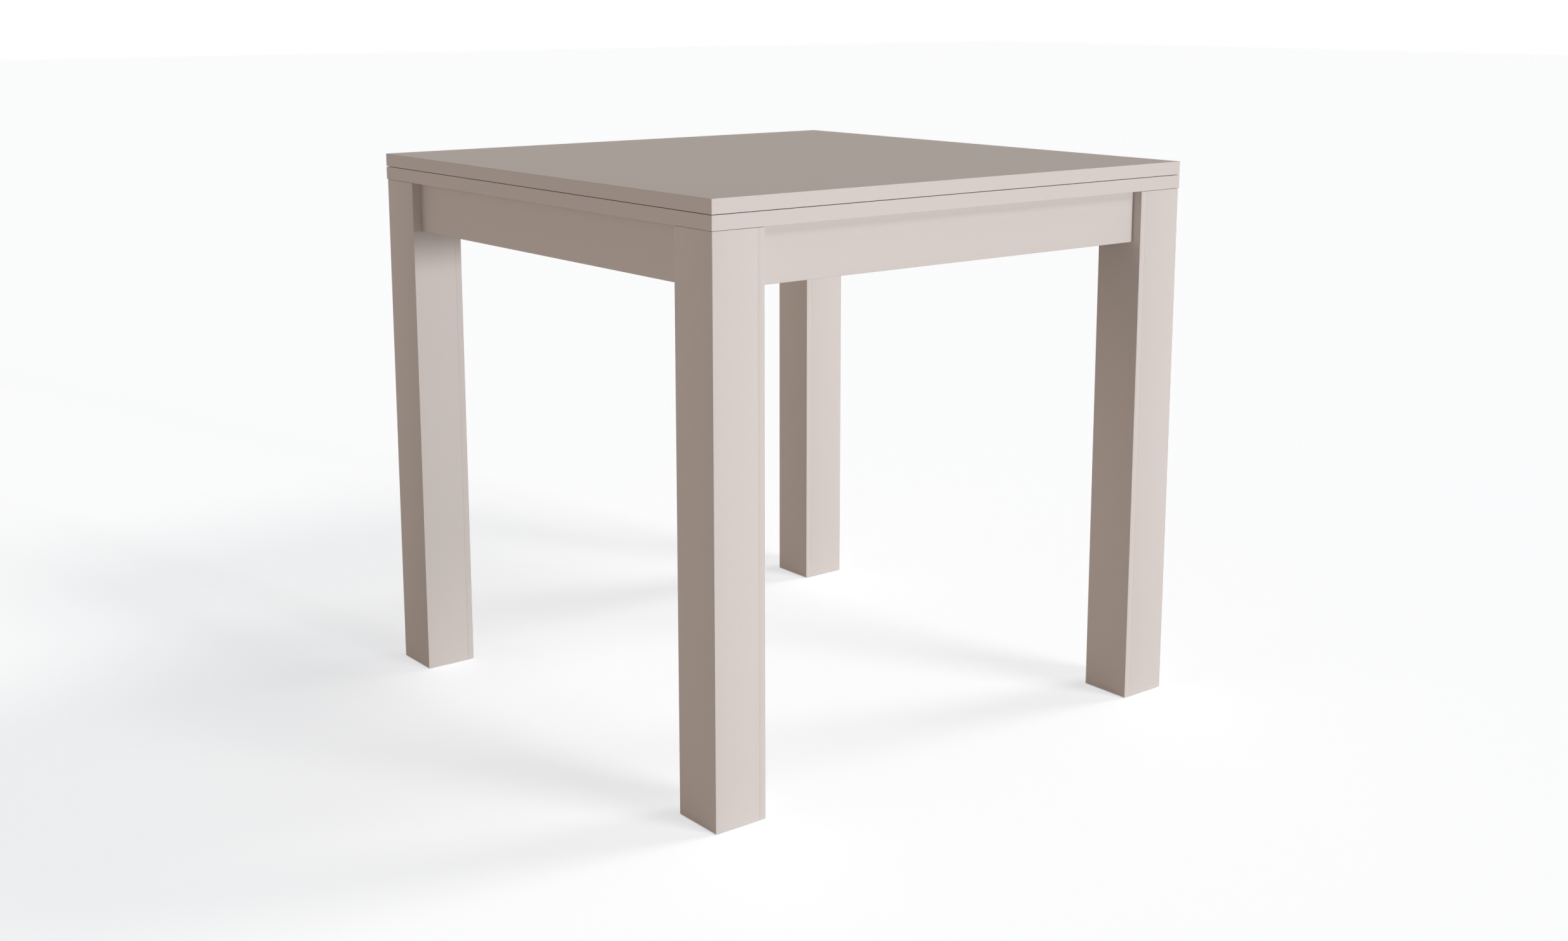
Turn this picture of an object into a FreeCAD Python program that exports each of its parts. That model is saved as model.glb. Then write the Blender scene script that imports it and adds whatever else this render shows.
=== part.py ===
import FreeCAD, Part
import math
import os

os.makedirs("parts", exist_ok=True)

# Square kitchen table with a doubled, swivelling, fold-over top. Millimetres.
#
# The origin is on the floor under the middle of the closed table. +Z is up, the front is -Y.
# Two equal leaves lie one on the other. The pair swivels a quarter turn on a pivot a quarter of
# the way in from the back and right edges, so that the hinged edge comes to the middle of the
# frame, and the upper leaf then folds over on the book hinges and rests on the other half.

# ---------------------------------------------------------------- the top
top_side = 800.0  # a leaf is square
leaf_thickness = 18.0
leaf_gap = 0.8  # between the closed leaves, and between their edges when open
edging_thickness = 1.3
edging_joint = 0.05  # between the ends of the edging strips
arris_radius = 0.5  # softened edge of every leaf
hinge_chamfer = 1.5  # on the two arrises that turn past each other

# ---------------------------------------------------------------- the frame
leg_length = 724.0
leg_width = 75.0
leg_wall = 9.5  # the folded casing and the closing board
leg_setback = 1.0  # from a leaf's edge to a leg's outer face
leg_arris = 0.6
seam_chamfer = 0.3  # where the casing meets the closing board
top_block_height = 110.0
foot_block_height = 45.0
apron_height = 70.0
apron_thickness = 18.0
apron_recess = 13.6  # from a leg's outer face to an apron's
rail_width = 120.0
rail_thickness = 22.0

# ---------------------------------------------------------------- joinery and fastenings
dowel_radius = 4.0
dowel_in_leg = 20.0
dowel_in_apron = 15.0
dowel_edge = 15.0  # from the apron's lower and upper edges to the dowels
glue_line = 0.1
screw_radius = 1.9
screw_head_radius = 3.8
screw_fit = 0.05
pan_head_height = 2.2
pan_head_crown = 0.7  # the head's top, as a share of its seat
plate_screw_length = 15.0
bracket_screw_length = 16.0

bracket_sheet = 2.0
bracket_height = 34.0
bracket_flange = 45.0
bracket_setback = 20.0  # from the leg's inner edge to the web
bracket_screw_inset = 12.0
bracket_clearance = 3.0  # under the cross rails
leg_bolt_radius = 4.0
leg_bolt_in_leg = 45.0  # past the leg's inner edge
leg_bolt_tail = 16.0  # past the web, on the nut's side
leg_bolt_hole_fit = 0.4  # in the web
leg_washer_radius = 10.0
leg_washer_thickness = 2.0
leg_nut_width = 13.0
leg_nut_height = 6.5

angle_leg = 25.0
angle_height = 18.0
angle_sheet = 2.0
angle_screw_inset = 16.0

# ---------------------------------------------------------------- the swivel fitting
plate_side = 110.0
plate_corner_radius = 12.0
plate_sheet = 2.5
plate_screw_inset = 11.0
disc_radius = 30.0
disc_thickness = 2.0
disc_bore_fit = 0.3
pivot_radius = 5.0
pivot_running_fit = 0.06
pivot_head_radius = 10.0
pivot_head_height = 5.0
pivot_head_room = 1.0
rail_bore_fit = 0.5
stud_radius = 4.0
stud_orbit = 38.0  # from the pivot to the stop stud
stud_play = 0.3
stud_tip_gap = 0.3
swivel_angle = 90.0
wear_washer_radius = 14.0
wear_washer_thickness = 2.0
steel_washer_radius = 12.0
steel_washer_thickness = 2.0
spring_radius = 10.0
spring_sheet = 1.0
spring_height = 2.0
lock_nut_width = 17.0
lock_nut_height = 10.0
pivot_tail = 3.0  # past the lock nut
part_fit = 0.03  # between pieces that are fixed together

# ---------------------------------------------------------------- buttons and glides
button_radius = 8.0
button_height = 0.5
button_stem_radius = 2.5
button_stem_length = 8.0
glide_height = 1.0
glide_sink = 2.5
glide_radius = 14.0
glide_fit = 0.3
glide_stem_radius = 4.0
glide_stem_length = 22.0
insert_radius = 6.0
insert_length = 15.0

# ---------------------------------------------------------------- the book hinges
hinge_spread = 500.0  # between the two hinges
hinge_body_width = 44.0
hinge_body_depth = 14.0
hinge_body_height = 12.0
hinge_pin_inset = 2.6  # from the face and from the edge
hinge_pin_radius = 1.3
hinge_ear = 7.0  # what a pin enters on each side of the link
hinge_pin_fit = 0.05
link_radius = 2.4
link_width = 8.0
link_play = 0.2  # on each side of a link
link_room = 0.4  # round a link's ends
mortise_fit = 0.1
hinge_screw_length = 24.0
hinge_screw_inset = 6.5

# ---------------------------------------------------------------- worked-out places
half_top = top_side / 2
leg_outer = half_top - leg_setback
leg_inner = leg_outer - leg_width
leg_middle = leg_outer - leg_width / 2
leg_seam = leg_inner + leg_wall
leg_core_low = leg_inner + leg_wall
leg_core_high = leg_outer - leg_wall
apron_outer = leg_outer - apron_recess
apron_inner = apron_outer - apron_thickness
apron_middle = (apron_outer + apron_inner) / 2

leg_bottom = glide_height
frame_top = leg_bottom + leg_length
apron_bottom = frame_top - apron_height
lower_leaf_bottom = frame_top + button_height
lower_leaf_top = lower_leaf_bottom + leaf_thickness
upper_leaf_bottom = lower_leaf_top + leaf_gap
table_height = upper_leaf_bottom + leaf_thickness

pivot_x = top_side / 4
pivot_y = top_side / 4
upper_plate_bottom = lower_leaf_bottom - plate_sheet
lower_plate_top = upper_plate_bottom - disc_thickness
rail_top = lower_plate_top - plate_sheet
rail_bottom = rail_top - rail_thickness

CORNERS = {
    "front_left": (-1, -1),
    "front_right": (1, -1),
    "back_left": (-1, 1),
    "back_right": (1, 1),
}
X = FreeCAD.Vector(1, 0, 0)
Y = FreeCAD.Vector(0, 1, 0)
Z = FreeCAD.Vector(0, 0, 1)
ORIGIN = FreeCAD.Vector(0, 0, 0)


# ---------------------------------------------------------------- helpers
def point(x, y, z):
    return FreeCAD.Vector(x, y, z)


def block(x0, x1, y0, y1, z0, z1):
    """A box between two corners."""
    return Part.makeBox(x1 - x0, y1 - y0, z1 - z0, point(x0, y0, z0))


def rod(radius, start, direction, length):
    """A round bar from a point along a direction."""
    return Part.makeCylinder(radius, length, start, direction)


def ring(radius, bore, z0, height, x=0.0, y=0.0):
    """An upright washer or disc with a hole through it."""
    outside = rod(radius, point(x, y, z0), Z, height)
    return outside.cut(rod(bore, point(x, y, z0), Z, height))


def prism(corners, start, direction, length):
    """A flat outline, given as points, pushed along a direction."""
    outline = Part.makePolygon([start + c for c in corners] + [start + corners[0]])
    return Part.Face(outline).extrude(direction * length)


def hexagon(width, start, direction, side, length):
    """A hexagonal bar of a given width across its flats. side points at one flat."""
    across = direction.cross(side)
    reach = width / math.sqrt(3)
    corners = []
    for turn in range(6):
        a = math.radians(30 + 60 * turn)
        corners.append(side * (reach * math.cos(a)) + across * (reach * math.sin(a)))
    return prism(corners, start, direction, length)


def joined(shapes):
    """One solid from several that touch or overlap."""
    whole = shapes[0]
    for shape in shapes[1:]:
        whole = whole.fuse(shape)
    return whole.removeSplitter()


def without(shape, cutters):
    """A shape with every cutter taken out of it."""
    if cutters:
        return shape.cut(Part.makeCompound(cutters))
    return shape


def at_corner(shape, signs):
    """A piece made for the back right corner, moved to another by mirroring."""
    sx, sy = signs
    if sx < 0:
        shape = shape.mirror(ORIGIN, X)
    if sy < 0:
        shape = shape.mirror(ORIGIN, Y)
    return shape


def at_all_corners(shapes):
    """Copies of the back right corner's pieces at all four corners."""
    return [at_corner(shape, signs) for signs in CORNERS.values() for shape in shapes]


def upright_edges(shape, x=None, y=None):
    """The shape's vertical edges that stand at a given x, a given y or both."""
    found = []
    for edge in shape.Edges:
        a, b = edge.Vertexes[0].Point, edge.Vertexes[-1].Point
        if abs(a.x - b.x) > 1e-6 or abs(a.y - b.y) > 1e-6:
            continue
        if x is not None and abs(a.x - x) > 1e-6:
            continue
        if y is not None and abs(a.y - y) > 1e-6:
            continue
        found.append(edge)
    return found


def save(name, solids):
    """Writes one node: a single solid, or a group of separate ones."""
    parts = [solid for shape in solids for solid in shape.Solids]
    shape = parts[0] if len(parts) == 1 else Part.makeCompound(parts)
    if not shape.isValid():
        raise ValueError(name + " is not a valid solid")
    shape.exportStep("parts/" + name + ".step")
    print(name, len(parts), round(shape.Volume))


# ---------------------------------------------------------------- screws
def flat_screw(head, direction, length, grow=0.0):
    """A countersunk wood screw. Its head's face is at a point and it is driven along a direction."""
    sink = screw_head_radius - screw_radius
    cone = Part.makeCone(screw_head_radius + grow, screw_radius + grow, sink, head, direction)
    shank_end = length - 2 * screw_radius
    shank = rod(screw_radius + grow, head, direction, shank_end)
    tip_start = head + direction * shank_end
    tip = Part.makeCone(screw_radius + grow, grow, 2 * screw_radius, tip_start, direction)
    return joined([cone, shank, tip])


def pan_screw(seat, direction, length):
    """A wood screw whose round head stands on the face at seat."""
    crown = screw_head_radius * pan_head_crown
    head = Part.makeCone(screw_head_radius, crown, pan_head_height, seat, direction * -1)
    shank_end = length - 2 * screw_radius
    shank = rod(screw_radius, seat, direction, shank_end)
    tip = Part.makeCone(screw_radius, 0, 2 * screw_radius, seat + direction * shank_end, direction)
    return joined([head, shank, tip])


def screw_bore(seat, direction, length):
    """The hole that a screw's shank makes in what it goes through."""
    shank_end = length - 2 * screw_radius
    wide = screw_radius + screw_fit
    shank = rod(wide, seat, direction, shank_end)
    tip = Part.makeCone(wide, 0, 2 * wide, seat + direction * shank_end, direction)
    return joined([shank, tip])


# ---------------------------------------------------------------- dowels between aprons and legs
def dowel_axes():
    """Start and direction of the dowels at the back right leg: two for each of its aprons."""
    axes = []
    for z in (apron_bottom + dowel_edge, frame_top - dowel_edge):
        axes.append((point(leg_inner - dowel_in_apron, apron_middle, z), X))
        axes.append((point(apron_middle, leg_inner - dowel_in_apron, z), Y))
    return axes


def dowels(grow=0.0):
    length = dowel_in_apron + dowel_in_leg
    made = []
    for start, direction in dowel_axes():
        made.append(rod(dowel_radius + grow, start - direction * grow, direction, length + 2 * grow))
    return made


# ---------------------------------------------------------------- corner brackets and leg bolts
diagonal = point(1, 1, 0) / math.sqrt(2)
web_middle = leg_inner - bracket_setback / math.sqrt(2)  # x and y of the web's middle, leg side
web_end = 2 * web_middle - apron_inner
bracket_top = rail_bottom - bracket_clearance
bracket_bottom = bracket_top - bracket_height
bracket_middle = (bracket_top + bracket_bottom) / 2


def leg_bolt_point(past_web):
    """A point on the leg bolt's axis, counted from the leg side of the web towards the leg."""
    return point(web_middle, web_middle, bracket_middle) + diagonal * past_web


def bracket_screw_seats():
    """Seat and direction of the four screws of the back right bracket."""
    inner_face = apron_inner - bracket_sheet
    seats = []
    for inset in (bracket_screw_inset, bracket_flange - bracket_screw_inset):
        seats.append((point(web_end - inset, inner_face, bracket_middle), Y))
        seats.append((point(inner_face, web_end - inset, bracket_middle), X))
    return seats


def corner_bracket():
    """Bent steel strip: a web across the corner and a flange along each apron."""
    far = web_end - bracket_flange
    bend = web_end + bracket_sheet * (1 - math.sqrt(2))
    face = apron_inner - bracket_sheet
    outline = [
        point(far, apron_inner, 0),
        point(web_end, apron_inner, 0),
        point(apron_inner, web_end, 0),
        point(apron_inner, far, 0),
        point(face, far, 0),
        point(face, bend, 0),
        point(bend, face, 0),
        point(far, face, 0),
    ]
    strip = prism(outline, point(0, 0, bracket_bottom), Z, bracket_height)
    cutters = [leg_bolt(leg_bolt_hole_fit)]
    cutters += [screw_bore(seat, way, bracket_screw_length) for seat, way in bracket_screw_seats()]
    return without(strip, cutters)


def leg_bolt(grow=0.0):
    """Hanger bolt: coarse thread in the leg's top block, fine thread through the bracket's web."""
    start = leg_bolt_point(-bracket_sheet - leg_bolt_tail)
    length = leg_bolt_tail + bracket_sheet + bracket_setback + leg_bolt_in_leg
    return rod(leg_bolt_radius + grow, start, diagonal, length + grow)


def leg_washer():
    start = leg_bolt_point(-bracket_sheet - leg_washer_thickness)
    return rod(leg_washer_radius, start, diagonal, leg_washer_thickness).cut(leg_bolt(part_fit))


def leg_nut():
    start = leg_bolt_point(-bracket_sheet - leg_washer_thickness - leg_nut_height)
    return hexagon(leg_nut_width, start, diagonal, Z, leg_nut_height).cut(leg_bolt(part_fit))


# ---------------------------------------------------------------- buttons, glides and inserts
def button_places():
    """Where the nylon buttons stand on the frame: on each leg and on the middle of each apron."""
    places = [(sx * leg_middle, sy * leg_middle) for sx, sy in CORNERS.values()]
    places += [(0, apron_middle), (0, -apron_middle), (apron_middle, 0), (-apron_middle, 0)]
    return places


def button(x, y):
    head = rod(button_radius, point(x, y, frame_top), Z, button_height)
    stem = rod(button_stem_radius, point(x, y, frame_top), Z * -1, button_stem_length)
    return joined([head, stem])


def button_bore(x, y):
    depth = button_stem_length + glue_line
    return rod(button_stem_radius + glue_line, point(x, y, frame_top), Z * -1, depth)


def leg_glide():
    """Nylon foot with a threaded stem. Its disc is sunk into the foot block."""
    disc = rod(glide_radius, point(leg_middle, leg_middle, 0), Z, glide_height + glide_sink)
    disc_top = point(leg_middle, leg_middle, glide_height + glide_sink)
    return joined([disc, rod(glide_stem_radius, disc_top, Z, glide_stem_length)])


def glide_bore():
    """Room for the glide, its stem and its insert in the foot block."""
    floor = point(leg_middle, leg_middle, leg_bottom)
    sink_top = floor + Z * glide_sink
    sink = rod(glide_radius + glide_fit, floor, Z, glide_sink)
    stem = rod(glide_stem_radius + glide_fit, sink_top, Z, glide_stem_length + glide_fit)
    insert = rod(insert_radius + part_fit, sink_top, Z, insert_length)
    return joined([sink, stem, insert])


def glide_insert():
    bottom = leg_bottom + glide_sink
    return ring(insert_radius, glide_stem_radius + part_fit, bottom, insert_length, leg_middle, leg_middle)


# ---------------------------------------------------------------- legs, made for the back right corner
leg_holes = dowels(glue_line) + [leg_bolt(glue_line)]


def leg_casing():
    """Board folded into a channel. Its open side faces along X and takes the closing board."""
    channel = block(leg_seam, leg_outer, leg_inner, leg_outer, leg_bottom, frame_top)
    channel = channel.makeFillet(leg_arris, upright_edges(channel, x=leg_outer))
    channel = channel.makeChamfer(seam_chamfer, upright_edges(channel, x=leg_seam))
    inside = block(leg_seam, leg_core_high, leg_core_low, leg_core_high, leg_bottom, frame_top)
    return without(channel.cut(inside), leg_holes)


def leg_closing_board():
    board = block(leg_inner, leg_seam, leg_inner, leg_outer, leg_bottom, frame_top)
    board = board.makeFillet(leg_arris, upright_edges(board, x=leg_inner))
    board = board.makeChamfer(seam_chamfer, upright_edges(board, x=leg_seam))
    return without(board, leg_holes)


def leg_block(z0, z1, cutters):
    """A wooden block that fills the hollow leg over a stretch of its height."""
    return without(block(leg_core_low, leg_core_high, leg_core_low, leg_core_high, z0, z1), cutters)


def save_legs():
    casing = leg_casing()
    board = leg_closing_board()
    top_cutters = leg_holes + [button_bore(leg_middle, leg_middle)]
    top_block = leg_block(frame_top - top_block_height, frame_top, top_cutters)
    foot_block = leg_block(leg_bottom, leg_bottom + foot_block_height, [glide_bore()])
    bracket = corner_bracket()
    for name, signs in CORNERS.items():
        save("leg_casing_" + name, [at_corner(casing, signs)])
        save("leg_closing_board_" + name, [at_corner(board, signs)])
        save("leg_top_block_" + name, [at_corner(top_block, signs)])
        save("leg_foot_block_" + name, [at_corner(foot_block, signs)])
        save("corner_bracket_" + name, [at_corner(bracket, signs)])
    save("leg_glides", at_all_corners([leg_glide()]))
    save("glide_inserts", at_all_corners([glide_insert()]))
    save("apron_dowels", at_all_corners(dowels()))
    save("leg_bolts", at_all_corners([leg_bolt()]))
    save("leg_bolt_washers", at_all_corners([leg_washer()]))
    save("leg_bolt_nuts", at_all_corners([leg_nut()]))
    screws = [pan_screw(seat, way, bracket_screw_length) for seat, way in bracket_screw_seats()]
    save("bracket_screws", at_all_corners(screws))


# ---------------------------------------------------------------- cross rails and their angles
def angle_corners():
    """The places of the eight steel angles: side of the rail, rail's middle x, and end of the rail."""
    return [(side, x, end) for x in (-pivot_x, pivot_x) for side in (-1, 1) for end in (-1, 1)]


angle_middle_z = (rail_top + rail_bottom) / 2


def rail_angle(side, rail_x, end):
    """A steel angle between a rail's long edge and the apron at its end."""
    edge_x = rail_x + side * rail_width / 2
    face_y = end * apron_inner
    outline = [
        point(0, 0, 0),
        point(side * angle_leg, 0, 0),
        point(side * angle_leg, -end * angle_sheet, 0),
        point(side * angle_sheet, -end * angle_sheet, 0),
        point(side * angle_sheet, -end * angle_leg, 0),
        point(0, -end * angle_leg, 0),
    ]
    low = point(edge_x, face_y, angle_middle_z - angle_height / 2)
    cutters = [screw_bore(seat, way, plate_screw_length) for seat, way in angle_screws(side, rail_x, end)]
    return without(prism(outline, low, Z, angle_height), cutters)


def angle_screws(side, rail_x, end):
    """Seat and direction of an angle's two screws: one into the rail, one into the apron."""
    edge_x = rail_x + side * rail_width / 2
    face_y = end * apron_inner
    into_rail = point(edge_x + side * angle_sheet, face_y - end * angle_screw_inset, angle_middle_z)
    into_apron = point(edge_x + side * angle_screw_inset, face_y - end * angle_sheet, angle_middle_z)
    return [(into_rail, X * -side), (into_apron, Y * end)]


def all_angle_screws():
    return [screw for corner in angle_corners() for screw in angle_screws(*corner)]


def cross_rail(x, cutters):
    low, high = x - rail_width / 2, x + rail_width / 2
    rail = block(low, high, -apron_inner, apron_inner, rail_bottom, rail_top)
    bores = [screw_bore(seat, way, plate_screw_length) for seat, way in all_angle_screws()]
    return without(rail, bores + cutters)


def save_rails():
    pivot_bore = rod(pivot_radius + rail_bore_fit, point(pivot_x, pivot_y, rail_bottom), Z, rail_thickness)
    bores = [screw_bore(seat, Z * -1, plate_screw_length) for seat in plate_screw_seats(lower_plate_top)]
    save("pivot_rail", [cross_rail(pivot_x, [pivot_bore] + bores)])
    save("cross_rail", [cross_rail(-pivot_x, [])])
    save("rail_angles", [rail_angle(*corner) for corner in angle_corners()])
    save("rail_angle_screws", [pan_screw(seat, way, plate_screw_length) for seat, way in all_angle_screws()])


# ---------------------------------------------------------------- aprons
def apron_cutters():
    """Everything that goes into any apron, at all four corners."""
    cutters = at_all_corners(dowels(glue_line))
    bores = [screw_bore(seat, way, bracket_screw_length) for seat, way in bracket_screw_seats()]
    cutters += at_all_corners(bores)
    cutters += [screw_bore(seat, way, plate_screw_length) for seat, way in all_angle_screws()]
    cutters += [button_bore(x, y) for x, y in button_places()]
    return cutters


def save_aprons():
    cutters = apron_cutters()
    runs = {
        "front_apron": (-leg_inner, leg_inner, -apron_outer, -apron_inner),
        "back_apron": (-leg_inner, leg_inner, apron_inner, apron_outer),
        "left_apron": (-apron_outer, -apron_inner, -leg_inner, leg_inner),
        "right_apron": (apron_inner, apron_outer, -leg_inner, leg_inner),
    }
    for name, (x0, x1, y0, y1) in runs.items():
        board = block(x0, x1, y0, y1, apron_bottom, frame_top)
        save(name, [without(board, cutters)])


# ---------------------------------------------------------------- swivel fitting
def plate_screw_seats(z):
    """Four screw places at the corners of a swivel plate, at a height."""
    reach = plate_side / 2 - plate_screw_inset
    return [point(pivot_x + sx * reach, pivot_y + sy * reach, z) for sx, sy in CORNERS.values()]


def swivel_plate(z0, cutters):
    """A square steel plate with rounded corners."""
    reach = plate_side / 2
    plate = block(pivot_x - reach, pivot_x + reach, pivot_y - reach, pivot_y + reach, z0, z0 + plate_sheet)
    plate = plate.makeFillet(plate_corner_radius, upright_edges(plate))
    return without(plate, cutters)


def stop_slot():
    """Arc slot in the lower plate. The stud starts at its left end and turns with the top."""
    wide = stud_radius + stud_play
    low = rail_top
    outer = rod(stud_orbit + wide, point(pivot_x, pivot_y, low), Z, plate_sheet)
    band = outer.cut(rod(stud_orbit - wide, point(pivot_x, pivot_y, low), Z, plate_sheet))
    reach = 2 * stud_orbit
    sector = [point(0, 0, 0)]
    ends = []
    for share in (0, 0.25, 0.5, 0.75, 1):
        a = math.radians(180 + swivel_angle * share)
        sector.append(point(reach * math.cos(a), reach * math.sin(a), 0))
    for turn in (0, swivel_angle):
        a = math.radians(180 + turn)
        end = point(pivot_x + stud_orbit * math.cos(a), pivot_y + stud_orbit * math.sin(a), low)
        ends.append(rod(wide, end, Z, plate_sheet))
    wedge = prism(sector, point(pivot_x, pivot_y, low), Z, plate_sheet)
    return joined([band.common(wedge)] + ends)


def pivot_bolt():
    """Flat-headed bolt, held in the upper plate, with its head sunk in the lower leaf."""
    head = rod(pivot_head_radius, point(pivot_x, pivot_y, lower_leaf_bottom), Z, pivot_head_height)
    length = lower_leaf_bottom - pivot_end
    shank = rod(pivot_radius, point(pivot_x, pivot_y, pivot_end), Z, length)
    return joined([head, shank])


wear_washer_bottom = rail_bottom - wear_washer_thickness
steel_washer_bottom = wear_washer_bottom - steel_washer_thickness
spring_bottom = steel_washer_bottom - spring_height
lock_nut_bottom = spring_bottom - lock_nut_height
pivot_end = lock_nut_bottom - pivot_tail


def disc_spring():
    """A coned steel ring between the washer and the lock nut."""
    rise = spring_height - spring_sheet
    bore = pivot_radius + part_fit
    section = Part.makePolygon(
        [
            point(bore, 0, spring_bottom),
            point(spring_radius, 0, spring_bottom + rise),
            point(spring_radius, 0, spring_bottom + spring_height),
            point(bore, 0, spring_bottom + spring_sheet),
            point(bore, 0, spring_bottom),
        ]
    )
    coned = Part.Face(section).revolve(ORIGIN, Z, 360)
    coned.translate(point(pivot_x, pivot_y, 0))
    return coned


def lock_nut():
    start = point(pivot_x, pivot_y, lock_nut_bottom)
    nut = hexagon(lock_nut_width, start, Z, X, lock_nut_height)
    return nut.cut(rod(pivot_radius + part_fit, start, Z, lock_nut_height))


def save_swivel():
    centre = (pivot_x, pivot_y)
    lower_seats = plate_screw_seats(lower_plate_top)
    upper_seats = plate_screw_seats(upper_plate_bottom)
    fixed_bore = rod(pivot_radius + part_fit, point(*centre, upper_plate_bottom), Z, plate_sheet)
    running_bore = rod(pivot_radius + pivot_running_fit, point(*centre, rail_top), Z, plate_sheet)
    lower_sinks = [flat_screw(seat, Z * -1, plate_screw_length, screw_fit) for seat in lower_seats]
    upper_sinks = [flat_screw(seat, Z, plate_screw_length, screw_fit) for seat in upper_seats]
    stud_x = pivot_x - stud_orbit
    stud_bottom = rail_top + stud_tip_gap
    stud = rod(stud_radius, point(stud_x, pivot_y, stud_bottom), Z, lower_leaf_bottom - stud_bottom)
    stud_bore = rod(stud_radius + part_fit, point(stud_x, pivot_y, upper_plate_bottom), Z, plate_sheet)
    save("swivel_lower_plate", [swivel_plate(rail_top, [running_bore, stop_slot()] + lower_sinks)])
    save("swivel_upper_plate", [swivel_plate(upper_plate_bottom, [fixed_bore, stud_bore] + upper_sinks)])
    save("lower_plate_screws", [flat_screw(seat, Z * -1, plate_screw_length) for seat in lower_seats])
    save("upper_plate_screws", [flat_screw(seat, Z, plate_screw_length) for seat in upper_seats])
    save("stop_stud", [stud])
    tight = pivot_radius + part_fit
    loose = pivot_radius + disc_bore_fit
    disc = ring(disc_radius, loose, lower_plate_top, disc_thickness, *centre)
    wear_washer = ring(wear_washer_radius, loose, wear_washer_bottom, wear_washer_thickness, *centre)
    washer = ring(steel_washer_radius, tight, steel_washer_bottom, steel_washer_thickness, *centre)
    save("swivel_disc", [disc])
    save("pivot_wear_washer", [wear_washer])
    save("pivot_washer", [washer])
    save("pivot_spring", [disc_spring()])
    save("pivot_lock_nut", [lock_nut()])
    save("pivot_bolt", [pivot_bolt()])


# ---------------------------------------------------------------- book hinges
# A hinge half is made for the lower leaf. The upper half is its mirror image in the plane midway
# between the leaves. The links stand upright between the two pins when the table is closed.
fold_plane = (lower_leaf_top + upper_leaf_bottom) / 2
pin_y = half_top - hinge_pin_inset
lower_pin_z = lower_leaf_top - hinge_pin_inset
upper_pin_z = upper_leaf_bottom + hinge_pin_inset
hinge_places = (-hinge_spread / 2, hinge_spread / 2)


def to_upper(shape):
    """Moves a piece of the lower leaf's hinges to the upper leaf."""
    return shape.mirror(point(0, 0, fold_plane), Z)


def fold_chamfer(length):
    """The corner taken off the arris that turns past the other leaf, for a length along X."""
    corners = [
        point(0, half_top, lower_leaf_top),
        point(0, half_top - hinge_chamfer, lower_leaf_top),
        point(0, half_top, lower_leaf_top - hinge_chamfer),
    ]
    return prism(corners, point(-length / 2, 0, 0), X, length)


def hinge_mortise(x, grow):
    """The room that a hinge body takes up in the edge of the lower leaf."""
    side = hinge_body_width / 2 + grow
    depth = half_top - hinge_body_depth - grow
    floor = lower_leaf_top - hinge_body_height - grow
    return block(x - side, x + side, depth, half_top, floor, lower_leaf_top)


def hinge_screw_seats(x):
    reach = hinge_body_width / 2 - hinge_screw_inset
    z = lower_leaf_top - hinge_body_height / 2
    return [point(x - reach, half_top, z), point(x + reach, half_top, z)]


def hinge_screws(x, grow=0.0):
    return [flat_screw(seat, Y * -1, hinge_screw_length, grow) for seat in hinge_screw_seats(x)]


def hinge_pin(x, grow=0.0):
    length = link_width + 2 * link_play + 2 * hinge_ear + 2 * grow
    return rod(hinge_pin_radius + grow, point(x - length / 2, pin_y, lower_pin_z), X, length)


def hinge_body(x):
    """Die-cast block, flush with the leaf's face and edge, notched for the link."""
    side = link_width / 2 + link_play
    depth = hinge_pin_inset + link_radius + link_room
    slot = block(x - side, x + side, half_top - depth, half_top, lower_leaf_top - depth, lower_leaf_top)
    cutters = [slot, fold_chamfer(top_side), hinge_pin(x, part_fit)] + hinge_screws(x, screw_fit)
    return without(hinge_mortise(x, 0.0), cutters)


def hinge_link(x):
    """Steel link with rounded ends, from the lower pin to the upper pin."""
    low = point(x - link_width / 2, pin_y, lower_pin_z)
    high = point(x - link_width / 2, pin_y, upper_pin_z)
    near, far = pin_y - link_radius, pin_y + link_radius
    middle = block(low.x, low.x + link_width, near, far, lower_pin_z, upper_pin_z)
    ends = [rod(link_radius, end, X, link_width) for end in (low, high)]
    outside = joined([middle] + ends)
    bore = hinge_pin_radius + hinge_pin_fit
    return without(outside, [rod(bore, low, X, link_width), rod(bore, high, X, link_width)])


def save_hinges():
    bodies = [hinge_body(x) for x in hinge_places]
    pins = [hinge_pin(x) for x in hinge_places]
    screws = [screw for x in hinge_places for screw in hinge_screws(x)]
    save("lower_hinge_bodies", bodies)
    save("lower_hinge_pins", pins)
    save("lower_hinge_screws", screws)
    save("upper_hinge_bodies", [to_upper(body) for body in bodies])
    save("upper_hinge_pins", [to_upper(pin) for pin in pins])
    save("upper_hinge_screws", [to_upper(screw) for screw in screws])
    save("hinge_links", [hinge_link(x) for x in hinge_places])


# ---------------------------------------------------------------- leaves
def soft_square(z0, z1, direction):
    """A square bar the size of a leaf whose four long edges, along a direction, are softened."""
    bar = block(-half_top, half_top, -half_top, half_top, z0, z1)
    chosen = []
    for edge in bar.Edges:
        run = edge.Vertexes[-1].Point - edge.Vertexes[0].Point
        if abs(abs(run.normalize().dot(direction)) - 1) < 1e-6:
            chosen.append(edge)
    return bar.makeFillet(arris_radius, chosen)


def leaf_blank():
    """The lower leaf before its edging is parted from its board, with every arris softened."""
    bars = [soft_square(lower_leaf_bottom, lower_leaf_top, way) for way in (X, Y, Z)]
    return bars[0].common(bars[1]).common(bars[2]).cut(fold_chamfer(top_side))


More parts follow.
